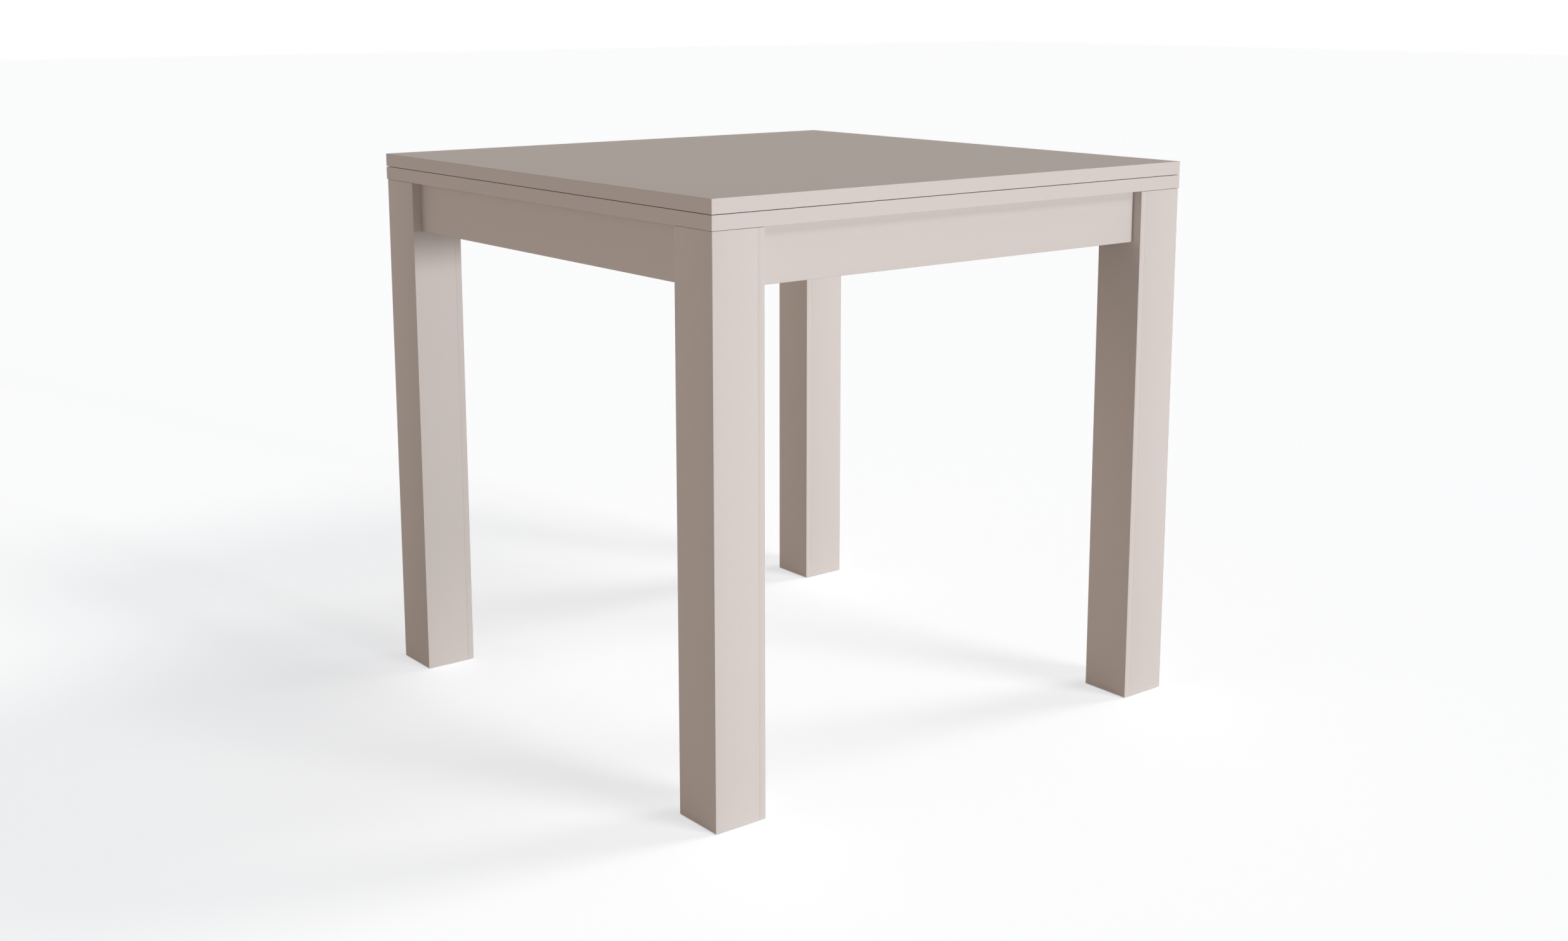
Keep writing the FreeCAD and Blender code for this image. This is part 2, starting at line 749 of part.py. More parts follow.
def edging_strips(blank):
    """The four strips: left and right run the whole depth, front and back fit between them."""
    core = half_top - edging_thickness
    end = core - edging_joint
    low, high = lower_leaf_bottom, lower_leaf_top
    regions = [
        block(-half_top, -core, -half_top, half_top, low, high),
        block(core, half_top, -half_top, half_top, low, high),
        block(-end, end, -half_top, -core, low, high),
        block(-end, end, core, half_top, low, high),
    ]
    return [blank.common(region) for region in regions]


def save_leaves():
    blank = leaf_blank()
    core = half_top - edging_thickness
    board = blank.common(block(-core, core, -core, core, lower_leaf_bottom, lower_leaf_top))
    hinge_cutters = [hinge_mortise(x, mortise_fit) for x in hinge_places]
    hinge_cutters += [screw for x in hinge_places for screw in hinge_screws(x, screw_fit)]
    head_room = pivot_head_height + pivot_head_room
    under = [
        rod(pivot_head_radius + pivot_head_room, point(pivot_x, pivot_y, lower_leaf_bottom), Z, head_room)
    ]
    under += [screw_bore(seat, Z, plate_screw_length) for seat in plate_screw_seats(upper_plate_bottom)]
    strips = [without(strip, hinge_cutters) for strip in edging_strips(blank)]
    hinged_board = without(board, hinge_cutters)
    save("lower_leaf", [without(hinged_board, under)])
    save("lower_leaf_edging", strips)
    save("upper_leaf", [to_upper(hinged_board)])
    save("upper_leaf_edging", [to_upper(strip) for strip in strips])


save_legs()
save_rails()
save_aprons()
save("frame_buttons", [button(x, y) for x, y in button_places()])
save_swivel()
save_hinges()
save_leaves()
print("closed table height", table_height)
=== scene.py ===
# %% [markdown]
# # A swivel extending table
#
# The table is plain square boards with one matt finish all over, so what tells the eye that it is
# real is small. The arrises are softened, the two leaves of the top leave a thin dark line, each leg
# shows the seam of its closing board, and underneath are blocks, brackets and screws. Leaves and
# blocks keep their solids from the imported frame. Legs, aprons and rails are cut from long profiles,
# everything turned or bent is made again with its threads and bends, and the castings and plates are
# copies of their solids with softened edges.

import math

import bmesh
import bpy
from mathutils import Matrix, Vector


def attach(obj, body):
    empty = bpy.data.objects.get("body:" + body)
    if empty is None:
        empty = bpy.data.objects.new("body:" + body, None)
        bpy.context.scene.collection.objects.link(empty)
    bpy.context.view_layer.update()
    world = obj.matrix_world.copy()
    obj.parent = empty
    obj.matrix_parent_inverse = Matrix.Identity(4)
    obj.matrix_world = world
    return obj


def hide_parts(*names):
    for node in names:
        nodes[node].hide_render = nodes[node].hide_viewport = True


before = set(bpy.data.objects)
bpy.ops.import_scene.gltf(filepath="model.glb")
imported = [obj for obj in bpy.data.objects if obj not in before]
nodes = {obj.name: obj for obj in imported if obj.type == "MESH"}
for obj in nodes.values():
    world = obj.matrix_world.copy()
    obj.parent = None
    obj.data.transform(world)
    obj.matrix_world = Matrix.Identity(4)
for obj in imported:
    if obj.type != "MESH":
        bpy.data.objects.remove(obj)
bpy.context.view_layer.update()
scene = bpy.context.scene
MM = 0.001


# %% [markdown]
# Places and sizes are measured on the frame's own solids, whose meshes lie in the table's frame, so
# they aren't written twice. Lengths are in millimetres unless they are multiplied by MM.

# %% Measuring the frame
X, Y, Z = 0, 1, 2
CORNERS = {"front_left": (-1, -1), "front_right": (1, -1), "back_left": (-1, 1), "back_right": (1, 1)}


def span(name, axis):
    """The lowest and the highest coordinate of a node along an axis."""
    values = [vertex.co[axis] / MM for vertex in nodes[name].data.vertices]
    return round(min(values), 3), round(max(values), 3)


def middle_of(name, axis):
    """Half-way between a node's ends along an axis."""
    return sum(span(name, axis)) / 2


print("the closed table is", span("upper_leaf", Z)[1], "mm high")


# %% [markdown]
# A few helpers serve every cell. Colours are written as sRGB hex, as on a paint card, and one function
# turns them to the linear values that shaders need. Another adds a node to any tree, sets it up and
# fills or links its sockets. A node that is given as a value is linked by its first output.

# %% Colour and node helpers
SRGB_KNEE = 0.04045
KINDS = ("Math", "VectorMath", "Mix", "MapRange", "TexNoise")
MATH, VECTOR, MIX, RANGE, NOISE = ["ShaderNode" + kind for kind in KINDS]


def linear(hex_colour):
    """An sRGB hex colour as linear RGBA."""
    channels = [int(hex_colour[i : i + 2], 16) / 255 for i in (1, 3, 5)]
    lit = [c / 12.92 if c <= SRGB_KNEE else ((c + 0.055) / 1.055) ** 2.4 for c in channels]
    return (*lit, 1.0)


def add(tree, kind, sockets=(), operation=None, **settings):
    """A new node. A list of sockets fills the first ones in order, and a dict the ones that it names."""
    node = tree.nodes.new(kind)
    if operation:
        node.operation = operation
    for name, value in settings.items():
        setattr(node, name, value)
    for key, value in sockets.items() if isinstance(sockets, dict) else enumerate(sockets):
        socket = node.inputs[key]
        source = value.outputs[0] if isinstance(value, bpy.types.Node) else value
        if isinstance(source, bpy.types.NodeSocket):
            tree.links.new(source, socket)
        else:
            socket.default_value = source
    return node


def put(name, data):
    """A new object in the scene."""
    made = bpy.data.objects.new(name, data)
    scene.collection.objects.link(made)
    return made


def material(name):
    """An empty material and its tree."""
    made = bpy.data.materials.new(name)
    made.use_nodes = True
    made.node_tree.nodes.clear()
    return made, made.node_tree


print("cashmere in linear light:", [round(c, 3) for c in linear("#D6CDC8")[:3]])


# %% [markdown]
# The camera stands a metre up, off the front left corner, and looks down at the table a little. A lens
# of about 43 mm on a 36 mm sensor gives a mild perspective.

# %% Camera
CAMERA_PLACE = (-1.6405, -2.1029, 0.9832)
CAMERA_YAW, CAMERA_PITCH = 38.282, 10.426
CAMERA_LENS, CAMERA_SENSOR, CAMERA_SHIFT = 43.22, 36.0, -0.08
CAMERA_SIGHT = 100.0

camera = put("camera", bpy.data.cameras.new("camera"))
camera.location = CAMERA_PLACE
camera.rotation_euler = (math.radians(90 - CAMERA_PITCH), 0, math.radians(-CAMERA_YAW))
camera.data.lens = CAMERA_LENS
camera.data.sensor_width = CAMERA_SENSOR
camera.data.shift_y = CAMERA_SHIFT
camera.data.clip_end = CAMERA_SIGHT
scene.camera = camera
print("camera is", round(Vector(CAMERA_PLACE).length, 2), "m from the table's foot")


# %% [markdown]
# The studio is a pale floor that runs on into a pale room, with four lights. One stands low in front,
# so that it reaches in under the top to the back legs, and makes the front faces the brightest. Two
# soft ones on the right, about fifty degrees apart, lay two faint shadows at each foot, like an open
# pair of compasses. These are suns, which light every face of one direction alike, so a board keeps
# one tone from end to end. The fourth is a low warm screen at the back left, a brighter patch of
# horizon in the world. It lights the left faces. The ceiling gives a dim even glow.

# %% Lights
def sun(name, towards, strength, spread, tint):
    """A soft parallel light. towards points from the table to the light; strength 1 is full white."""
    lamp = put(name, bpy.data.lights.new(name, "SUN"))
    lamp.rotation_euler = Vector(towards).to_track_quat("Z", "Y").to_euler()
    lamp.data.energy = strength * math.pi
    lamp.data.angle = math.radians(spread)
    lamp.data.color = linear(tint)[:3]
    return lamp


sun("front_softbox", (0.20, -0.98, 0.038), 0.605, 6, "#F5FAFF")
sun("right_softbox", (0.757, -0.175, 0.629), 0.20, 18, "#FFFCFA")
sun("front_right_softbox", (0.316, -0.710, 0.629), 0.19, 18, "#FFFCFA")

# %% The room
SCREEN_WAY = (-0.707, 0.707, 0.0)
SCREEN_GLOW, SCREEN_TINT = 1.38, "#FFE9DB"
SCREEN_EDGE, BESIDE_GLOW = (0.5, 0.85), 0.05
CEILING_GLOW, CEILING_TINT = 0.21, "#FFF7ED"
CEILING_EDGE = (0.2, 0.5)

world = bpy.data.worlds.new("studio")
scene.world = world
world.use_nodes = True
room = world.node_tree
room.nodes.clear()
ray = add(room, "ShaderNodeLightPath").outputs
way = add(room, "ShaderNodeTexCoord").outputs["Generated"]
rise = add(room, "ShaderNodeSeparateXYZ", [way]).outputs["Z"]
high = add(room, RANGE, [rise, *CEILING_EDGE])
facing = add(room, VECTOR, [way, SCREEN_WAY], "DOT_PRODUCT").outputs["Value"]
near = add(room, RANGE, [facing, *SCREEN_EDGE, BESIDE_GLOW, SCREEN_GLOW])
tint = {0: high, 6: linear(SCREEN_TINT), 7: linear(CEILING_TINT)}
tint = add(room, MIX, tint, data_type="RGBA").outputs[2]
strength = add(room, MIX, {0: high, 2: near, 3: CEILING_GLOW})
glow = add(room, "ShaderNodeBackground", {"Color": tint, "Strength": strength})
white = add(room, "ShaderNodeBackground", {"Color": (1, 1, 1, 1), "Strength": 1.0})
seen = add(room, MATH, [ray["Is Camera Ray"], ray["Is Glossy Ray"]], "MAXIMUM")
seen = add(room, MATH, [seen, ray["Is Transmission Ray"]], "MAXIMUM")
both = add(room, "ShaderNodeMixShader", [seen, glow, white])
add(room, "ShaderNodeOutputWorld", {"Surface": both})
print("a screen of", SCREEN_GLOW, "and a ceiling of", CEILING_GLOW)


# %% [markdown]
# The floor is a pale matt surface. To the camera and in reflections it also gives off some light of
# its own, which lifts its lit parts to white and leaves the shadows as soft greys. Seen from below it
# is clear, so that the underside of the table can be looked at.

# %% Floor
FLOOR_SIDE = 60.0
FLOOR_COLOUR = "#FAF9F8"
FLOOR_LIFT, LIFT_TINT = 0.555, "#F1F8FF"

floor_mesh = bpy.data.meshes.new("floor")
reach = FLOOR_SIDE / 2
square = [(-reach, -reach, 0), (reach, -reach, 0), (reach, reach, 0), (-reach, reach, 0)]
floor_mesh.from_pydata(square, [], [(0, 1, 2, 3)])
floor = put("floor", floor_mesh)
floor_paint, tree = material("pale_studio_floor")
ray = add(tree, "ShaderNodeLightPath").outputs
below = add(tree, "ShaderNodeNewGeometry").outputs["Backfacing"]
matt = add(tree, "ShaderNodeBsdfDiffuse", {"Color": linear(FLOOR_COLOUR)})
seen = add(tree, MATH, [ray["Is Camera Ray"], ray["Is Glossy Ray"]], "MAXIMUM")
seen = add(tree, MATH, [seen, ray["Is Transmission Ray"]], "MAXIMUM")
lift = add(tree, MATH, [seen, FLOOR_LIFT], "MULTIPLY")
own = add(tree, "ShaderNodeEmission", {"Color": linear(LIFT_TINT), "Strength": lift})
lit = add(tree, "ShaderNodeAddShader", [matt, own])
sides = add(tree, "ShaderNodeMixShader", [below, lit, add(tree, "ShaderNodeBsdfTransparent")])
add(tree, "ShaderNodeOutputMaterial", {"Surface": sides})
floor_mesh.materials.append(floor_paint)
print("floor", FLOOR_SIDE, "m square")


# %% [markdown]
# ## The finish of the boards
#
# Everything in sight has one colour, a warm pale grey, on three skins. The leaves are chipboard with
# melamine paper pressed on in a plate with a faint pearl grain. Their edging is extruded ABS strip,
# so its traces run along the strip. Legs and aprons are fibreboard wrapped in foil, which is
# calendered and the smoothest. All three are matt: a broad highlight, and no mirror image. One
# function makes them, because they differ only in the grain's size and direction and in gloss. Real
# pearl grain is about 0.5 mm wide and wouldn't show, so it is drawn about twice as coarse.
#
# Every finish starts from Object coordinates and ends alike: a tone between two colours, a relief,
# and the sockets of one shader.

# %% How every finish starts and ends
NOISE_ENDS = (0.3, 0.7)


def patterned(name):
    """An empty material, its tree and the place that its patterns read."""
    made, tree = material(name)
    return made, tree, add(tree, "ShaderNodeTexCoord").outputs["Object"]


def finish_off(tree, share, dark, light, sockets, height, strength, depth_mm):
    """Ends a tree with a tone between two colours, a relief and a shader with these sockets."""
    tone = add(tree, MIX, {0: share, 6: linear(dark), 7: linear(light)}, data_type="RGBA").outputs[2]
    relief = add(tree, "ShaderNodeBump", {"Strength": strength, "Distance": depth_mm * MM, "Height": height})
    skin = add(tree, "ShaderNodeBsdfPrincipled", {"Base Color": tone, "Normal": relief, **sockets})
    add(tree, "ShaderNodeOutputMaterial", {"Surface": skin})


print("gloss follows a noise between", NOISE_ENDS)

# %% Three skins in one colour
CASHMERE = ("#D3CAC5", "#D8CFCA")
MATT_GLOSS = 0.06
BATCH_MM = 350


def cashmere(name, roughness, grain_mm, run):
    """A matt skin. grain_mm is the size of its grain, and run stretches it along X, Y and Z."""
    made, tree, place = patterned(name)
    along = add(tree, "ShaderNodeMapping", {"Vector": place, "Scale": [1 / r for r in run]})
    grain = add(tree, NOISE, {"Vector": along, "Scale": 1 / (grain_mm * MM), "Detail": 3.0})
    batch = add(tree, NOISE, {"Vector": place, "Scale": 1 / (BATCH_MM * MM), "Detail": 1.0})
    share = add(tree, MIX, {0: 0.35, 2: grain, 3: batch})
    gloss = add(tree, RANGE, [grain, *NOISE_ENDS, roughness - 0.05, roughness + 0.05])
    skin = {"Roughness": gloss, "Specular IOR Level": MATT_GLOSS}
    finish_off(tree, share, *CASHMERE, skin, height=grain, strength=0.5, depth_mm=0.04)
    return made


melamine = cashmere("melamine_board_pearl_pressed", 0.62, 1.1, (1, 1, 1))
edging = cashmere("abs_edging_extruded", 0.56, 0.9, (40, 40, 1))
upright_foil = cashmere("foil_wrapped_board_upright", 0.60, 0.8, (1, 1, 6))
level_foil = cashmere("foil_wrapped_board_level", 0.60, 0.8, (6, 6, 1))
print("skins:", [m.name for m in (melamine, edging, upright_foil, level_foil)])


# %% [markdown]
# ## Bare wood and board
#
# Where no foil goes the core shows: the sawn ends of the legs and the top edge of the aprons are
# brown fibreboard, a felt of fibres finer than half a millimetre, drawn at 0.7 mm so that it shows.
# The cross rails are sanded chipboard, whose flakes are about 2 mm long and lie flat, so they are
# long on the faces and short on the edges. One function paints both, from a fine felt and a layer of
# flakes of mixed tone.

# %% Fibreboard and chipboard
FELT_MM = 0.7


def pressed_board(name, dark, light, flake_mm, flat, relief_mm):
    """Bare pressed board: flakes of a size, flattened in height, each with a tone of its own."""
    made, tree, place = patterned(name)
    size = flake_mm * MM
    lying = add(tree, "ShaderNodeMapping", {"Vector": place, "Scale": (1, 1, flat)})
    bent = add(tree, NOISE, {"Vector": lying, "Scale": 1 / (2 * size), "Detail": 2.0})
    shove = add(tree, VECTOR, [bent.outputs["Color"], (size,) * 3], "MULTIPLY")
    warped = add(tree, VECTOR, [lying, shove], "ADD")
    flake = add(tree, "ShaderNodeTexVoronoi", {"Vector": warped, "Scale": 1 / size, "Randomness": 1.0})
    felt = add(tree, NOISE, {"Vector": place, "Scale": 1 / (FELT_MM * MM), "Detail": 4.0})
    own = add(tree, "ShaderNodeSeparateColor", [flake.outputs["Color"]])
    share = add(tree, MIX, {0: 0.45, 2: own, 3: felt})
    core = {"Roughness": 0.88, "Specular IOR Level": 0.2}
    finish_off(tree, share, dark, light, core, height=share, strength=0.6, depth_mm=relief_mm)
    return made


fibreboard = pressed_board("fibreboard_sawn", "#97754F", "#B8976D", flake_mm=0.8, flat=1.0, relief_mm=0.05)
chipboard = pressed_board("chipboard_sanded", "#B08C60", "#D9C298", flake_mm=2.2, flat=3.0, relief_mm=0.12)
print("bare boards:", fibreboard.name, chipboard.name)


# %% [markdown]
# The blocks in the legs are planed pine and the dowels are beech. Pine is drawn as a log is: rings
# round a line that runs along the grain, stretched many times that way, about 3 mm apart, with pale
# early wood and amber late wood. A wave texture of scale 1 has its rings 0.314 m apart. Beech has
# hardly any rings, so it is drawn by its many short brown flecks.

# %% Pine and beech
RING_MM, PORE_MM, FLECK_MM = 3.0, 0.5, 1.1
SWAY_MM, SWAY_STEP_MM = 6, 30
WAVE_STEP = 0.314
PITH, ALONG_GRAIN = (0.46, 0.40, 0.0), 0.06

pine, tree, place = patterned("pine_planed")
log = {"Vector": place, "Location": [-c for c in PITH], "Scale": (1, 1, ALONG_GRAIN)}
log = add(tree, "ShaderNodeMapping", log)
sway = add(tree, NOISE, {"Vector": log, "Scale": 1 / (SWAY_STEP_MM * MM), "Detail": 2.0})
sway = add(tree, VECTOR, [sway.outputs["Color"], (SWAY_MM * MM,) * 3], "MULTIPLY")
grown = add(tree, VECTOR, [log, sway], "ADD")
ring = {"Vector": grown, "Scale": WAVE_STEP / (RING_MM * MM), "Distortion": 0.4}
ring = add(tree, "ShaderNodeTexWave", ring, wave_type="RINGS", rings_direction="Z", wave_profile="SAW")
pore = add(tree, NOISE, {"Vector": log, "Scale": 1 / (PORE_MM * MM), "Detail": 2.0})
share = add(tree, MIX, {0: 0.3, 2: ring.outputs["Fac"], 3: pore})
wood = {"Roughness": 0.7, "Specular IOR Level": 0.3}
finish_off(tree, share, "#E6CFA2", "#C39A5F", wood, height=share, strength=0.4, depth_mm=0.08)

beech, tree, place = patterned("beech_dowel_turned")
fleck = add(tree, "ShaderNodeTexVoronoi", {"Vector": place, "Scale": 1 / (FLECK_MM * MM)})
spot = add(tree, RANGE, [fleck.outputs["Distance"], 0.05, 0.35])
wood = {"Roughness": 0.62, "Specular IOR Level": 0.3}
finish_off(tree, spot, "#B5834F", "#DDB98A", wood, height=spot, strength=0.4, depth_mm=0.04)
print("pine rings", RING_MM, "mm apart")


# %% [markdown]
# ## Metals and nylon
#
# The fastenings are steel with bright zinc plating: bluish white, with a soft blurred shine and faint
# cloudy spots from the bath. Pressed sheet also keeps fine rolling lines. The hinge bodies are zinc
# alloy, die-cast, tumbled and nickel-plated to a satin, a warmer and darker metal. The inserts are
# turned brass. The traces of lathe, roll and mould are finer than the half millimetre that they are
# drawn at. A metal's colour is its reflection's, so each has its own pale tint and the default IOR.
# Each finish is paired with a slot name, which nothing in the script reads.

# %% Metals
TRACE_MM = 0.5


def plated(name, dark, light, roughness, cloud_mm, run, relief_mm):
    """A metal with a cloudy tint and fine traces of how it was made, stretched by run along X, Y, Z."""
    made, tree, place = patterned(name)
    along = add(tree, "ShaderNodeMapping", {"Vector": place, "Scale": [1 / r for r in run]})
    trace = add(tree, NOISE, {"Vector": along, "Scale": 1 / (TRACE_MM * MM), "Detail": 3.0})
    cloud = add(tree, NOISE, {"Vector": place, "Scale": 1 / (cloud_mm * MM), "Detail": 2.0})
    gloss = add(tree, RANGE, [trace, *NOISE_ENDS, roughness - 0.06, roughness + 0.08])
    metal = {"Roughness": gloss, "Metallic": 1.0}
    finish_off(tree, cloud, dark, light, metal, height=trace, strength=0.35, depth_mm=relief_mm)
    return made


zinc_turned = plated("zinc_plated_steel_turned", "#B4BAC2", "#CDD1D4", 0.30, 9, (1, 1, 1), 0.01)
zinc_sheet = plated("zinc_plated_sheet_rolled", "#AEB5BE", "#C9CED3", 0.34, 14, (12, 12, 1), 0.02)
nickel_cast = plated("die_cast_zinc_satin_nickel", "#A8A39A", "#BDB8AF", 0.36, 6, (1, 1, 1), 0.02)
brass_turned = plated("brass_turned", "#B8964E", "#D2B36C", 0.28, 5, (1, 1, 1), 0.01)
ZINC, SHEET_ZINC = (zinc_turned, "zinc_steel"), (zinc_sheet, "zinc_steel")
NICKEL, BRASS = (nickel_cast, "hinge_zinc"), (brass_turned, "brass_insert")
print("metals:", [m.name for m in (zinc_turned, zinc_sheet, nickel_cast, brass_turned)])


# %% [markdown]
# Glides, buttons, the swivel disc and the wear washer are natural nylon, moulded: a creamy white that
# lets a little light in, with a low sheen and the spark-eroded texture of its mould. That texture is
# finer than it is drawn here, so that it shows.

# %% Nylon
SPARK_MM, HAZE_MM = 0.6, 12

nylon, tree, place = patterned("nylon_natural_moulded")
spark = add(tree, NOISE, {"Vector": place, "Scale": 1 / (SPARK_MM * MM), "Detail": 3.0})
haze = add(tree, NOISE, {"Vector": place, "Scale": 1 / (HAZE_MM * MM), "Detail": 1.0})
gloss = add(tree, RANGE, [spark, *NOISE_ENDS, 0.38, 0.52])
plastic = {
    "Roughness": gloss, "Subsurface Weight": 0.15, "Subsurface Scale": 2 * MM,
    "Subsurface Radius": (1.0, 0.8, 0.6),
}
finish_off(tree, haze, "#DDD8CA", "#E9E5DA", plastic, height=spark, strength=0.4, depth_mm=0.02)
NYLON = (nylon, "nylon")
print("nylon:", nylon.name)


# %% [markdown]
# ## The solids that stay
#
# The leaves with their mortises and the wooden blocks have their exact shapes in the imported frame. A
# node's material is changed in its slots, and its mesh is left alone.

# %% Finishes on the frame's own solids
kept = {
    "lower_leaf": melamine, "upper_leaf": melamine, "lower_leaf_edging": edging, "upper_leaf_edging": edging,
}
for corner in CORNERS:
    kept["leg_top_block_" + corner] = pine
    kept["leg_foot_block_" + corner] = pine
for name, finish in kept.items():
    nodes[name].data.materials.clear()
    nodes[name].data.materials.append(finish)
print(len(kept), "solids kept with new finishes")


# %% [markdown]
# ## Trees that make geometry
#
# Two rules make almost every other piece. A board or a strip is one outline pushed along a path, as
# it left the wrapping line or the roll. A screw, nut or washer is half an outline turned round an
# axis. Each rule is one Geometry Nodes tree with named inputs. A base mesh carries the paths or the
# places, and the result is kept as a plain mesh that stands for its nodes in the frame.

# %% Running a tree
SEAM_GAP = 0.001 * MM


def group(name, inputs):
    """A geometry tree with named inputs. Returns the tree and its inputs' outputs."""
    tree = bpy.data.node_groups.new(name, "GeometryNodeTree")
    tree.interface.new_socket("Geometry", in_out="INPUT", socket_type="NodeSocketGeometry")
    for label, kind in inputs:
        tree.interface.new_socket(label, in_out="INPUT", socket_type="NodeSocket" + kind)
    tree.interface.new_socket("Geometry", in_out="OUTPUT", socket_type="NodeSocketGeometry")
    return tree, add(tree, "NodeGroupInput").outputs


def clean(mesh, gap, flat=0.0):
    """Merges doubles, joins faces that meet flatter than an angle and turns all of them outward."""
    shell = bmesh.new()
    shell.from_mesh(mesh)
    bmesh.ops.remove_doubles(shell, verts=shell.verts, dist=gap)
    if flat:
        bmesh.ops.dissolve_limit(shell, angle_limit=flat, verts=shell.verts, edges=shell.edges)
    bmesh.ops.recalc_face_normals(shell, faces=shell.faces)
    shell.to_mesh(mesh)
    shell.free()


def plain(piece):
    """Gives a piece the mesh that its modifiers make, and removes them."""
    evaluated = piece.evaluated_get(bpy.context.evaluated_depsgraph_get())
    made = bpy.data.meshes.new_from_object(evaluated)
    piece.modifiers.clear()
    piece.data = made
    return made


def run_tree(name, base, tree, inputs, body, stands_for):
    """Runs a tree on a base mesh and keeps the result as a piece that stands for the frame's nodes."""
    piece = put(name, base)
    modifier = piece.modifiers.new("rule", "NODES")
    modifier.node_group = tree
    sockets = {item.name: item.identifier for item in tree.interface.items_tree if item.in_out == "INPUT"}
    for label, value in inputs.items():
        modifier[sockets[label]] = value
    made = plain(piece)
    clean(made, SEAM_GAP)
    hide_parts(*stands_for)
    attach(piece, body)
    print(name, len(made.polygons), "faces")
    return piece


# %% [markdown]
# ## Pushed profiles
#
# The outline is a closed loop of points in millimetres, each with the radius that its corner is
# rounded to. Along an upright path an outline keeps its X and Y. Along a level path its X lies to the
# right of the path and its Y points down, so level outlines are drawn round their own middle. Where
# the path bends, it is rounded too, as a bending press leaves it.

# %% The tree for pushed profiles
CORNER_STEPS = 4
SQUARE_ON = 0.99

pushed, given = group(
    "pushed_profile",
    [("Outline", "Object"), ("Bend radius", "Float"), ("Bend steps", "Int"), ("Finish", "Material")],
)
path = add(pushed, "GeometryNodeMeshToCurve", {"Mesh": given["Geometry"]})
bent = add(
    pushed, "GeometryNodeFilletCurve",
    {"Curve": path, "Radius": given["Bend radius"], "Count": given["Bend steps"], "Limit Radius": True},
    mode="POLY",
)
drawn = add(pushed, "GeometryNodeObjectInfo", {"Object": given["Outline"]})
loop = add(pushed, "GeometryNodeMeshToCurve", {"Mesh": drawn.outputs["Geometry"]})
round_to = add(pushed, "GeometryNodeInputNamedAttribute", {"Name": "round"}, data_type="FLOAT")
softened = add(
    pushed, "GeometryNodeFilletCurve",
    {"Curve": loop, "Radius": round_to, "Count": CORNER_STEPS, "Limit Radius": True}, mode="POLY",
)
body = add(pushed, "GeometryNodeCurveToMesh", {"Curve": bent, "Profile Curve": softened, "Fill Caps": True})
real = add(pushed, "GeometryNodeRealizeInstances", {"Geometry": body})
painted = add(pushed, "GeometryNodeSetMaterial", {"Geometry": real, "Material": given["Finish"]})
add(pushed, "NodeGroupOutput", [painted])


def outline(name, corners):
    """A closed loop from (x, y, rounding radius) in millimetres."""
    mesh = bpy.data.meshes.new(name)
    count = len(corners)
    mesh.from_pydata(
        [(x * MM, y * MM, 0) for x, y, _ in corners], [(i, (i + 1) % count) for i in range(count)], [],
    )
    mesh.attributes.new("round", "FLOAT", "POINT").data.foreach_set("value", [r * MM for _, _, r in corners])
    return put(name, mesh)


def paths(name, runs):
    """A mesh of open paths, each a list of points in millimetres."""
    points, edges = [], []
    for run in runs:
        edges += [(len(points) + i, len(points) + i + 1) for i in range(len(run) - 1)]
        points += [[c * MM for c in p] for p in run]
    mesh = bpy.data.meshes.new(name)
    mesh.from_pydata(points, edges, [])
    return mesh


def push(name, runs, corners, finish, slot, stands_for, bend=0.0):
    """One piece of pushed profile on the standing frame."""
    drawing = outline(name + "_outline", corners)
    inputs = {"Outline": drawing, "Bend radius": bend * MM, "Bend steps": 6, "Finish": finish}
    piece = run_tree(name, paths(name, runs), pushed, inputs, "frame", stands_for)
    bpy.data.objects.remove(drawing)
    return piece


def bare(piece, core, facing):
    """Gives the faces that look one way the bare core's finish."""
    piece.data.materials.append(core)
    count = 0
    for face in piece.data.polygons:
        if face.normal.dot(Vector(facing)) > SQUARE_ON:
            face.material_index = 1
            count += 1
    print(piece.name, count, "bare faces")


# %% [markdown]
# A leg is a folded casing, a channel of foil-wrapped board, closed by a fourth board on its inner
# side. The folds leave fine arrises, and the joint leaves a fine groove down the leg, since both
# boards have their edges eased. Both profiles are drawn for the back right leg and mirrored for the
# others by a sign on X and Y, which is why all faces are turned outward afterwards.

# %% Legs
LEG_LOW, LEG_HIGH = span("leg_casing_back_right", Z)
LEG_OUT = span("leg_casing_back_right", X)[1]
LEG_IN, SEAM = span("leg_closing_board_back_right", X)
LEG_ARRIS, SEAM_EASE = 0.6, 0.3

far = LEG_OUT - (SEAM - LEG_IN)
casing = [
    (SEAM, LEG_IN, SEAM_EASE), (LEG_OUT, LEG_IN, LEG_ARRIS), (LEG_OUT, LEG_OUT, LEG_ARRIS),
    (SEAM, LEG_OUT, SEAM_EASE), (SEAM, far, 0.0), (far, far, 0.0), (far, SEAM, 0.0), (SEAM, SEAM, 0.0),
]
closing = [
    (LEG_IN, LEG_IN, LEG_ARRIS), (SEAM, LEG_IN, SEAM_EASE), (SEAM, LEG_OUT, SEAM_EASE),
    (LEG_IN, LEG_OUT, LEG_ARRIS),
]
upright = [[(0, 0, LEG_LOW), (0, 0, LEG_HIGH)]]
for corner, (sx, sy) in CORNERS.items():
    for kind, shape in (("leg_casing_", casing), ("leg_closing_board_", closing)):
        mirrored = [(sx * x, sy * y, r) for x, y, r in shape]
        board = push("foil_" + kind + corner, upright, mirrored, upright_foil, "leg_board", [kind + corner])
        bare(board, fibreboard, (0, 0, 1))
        bare(board, fibreboard, (0, 0, -1))


# %% [markdown]
# The four aprons are boards on edge between the legs, and the two cross rails lie flat between the
# front and back aprons. Their profiles are plain rectangles, the aprons' with wrapped arrises and the
# rails' only sanded. An apron's top edge is where the foil ends, so it is bare.

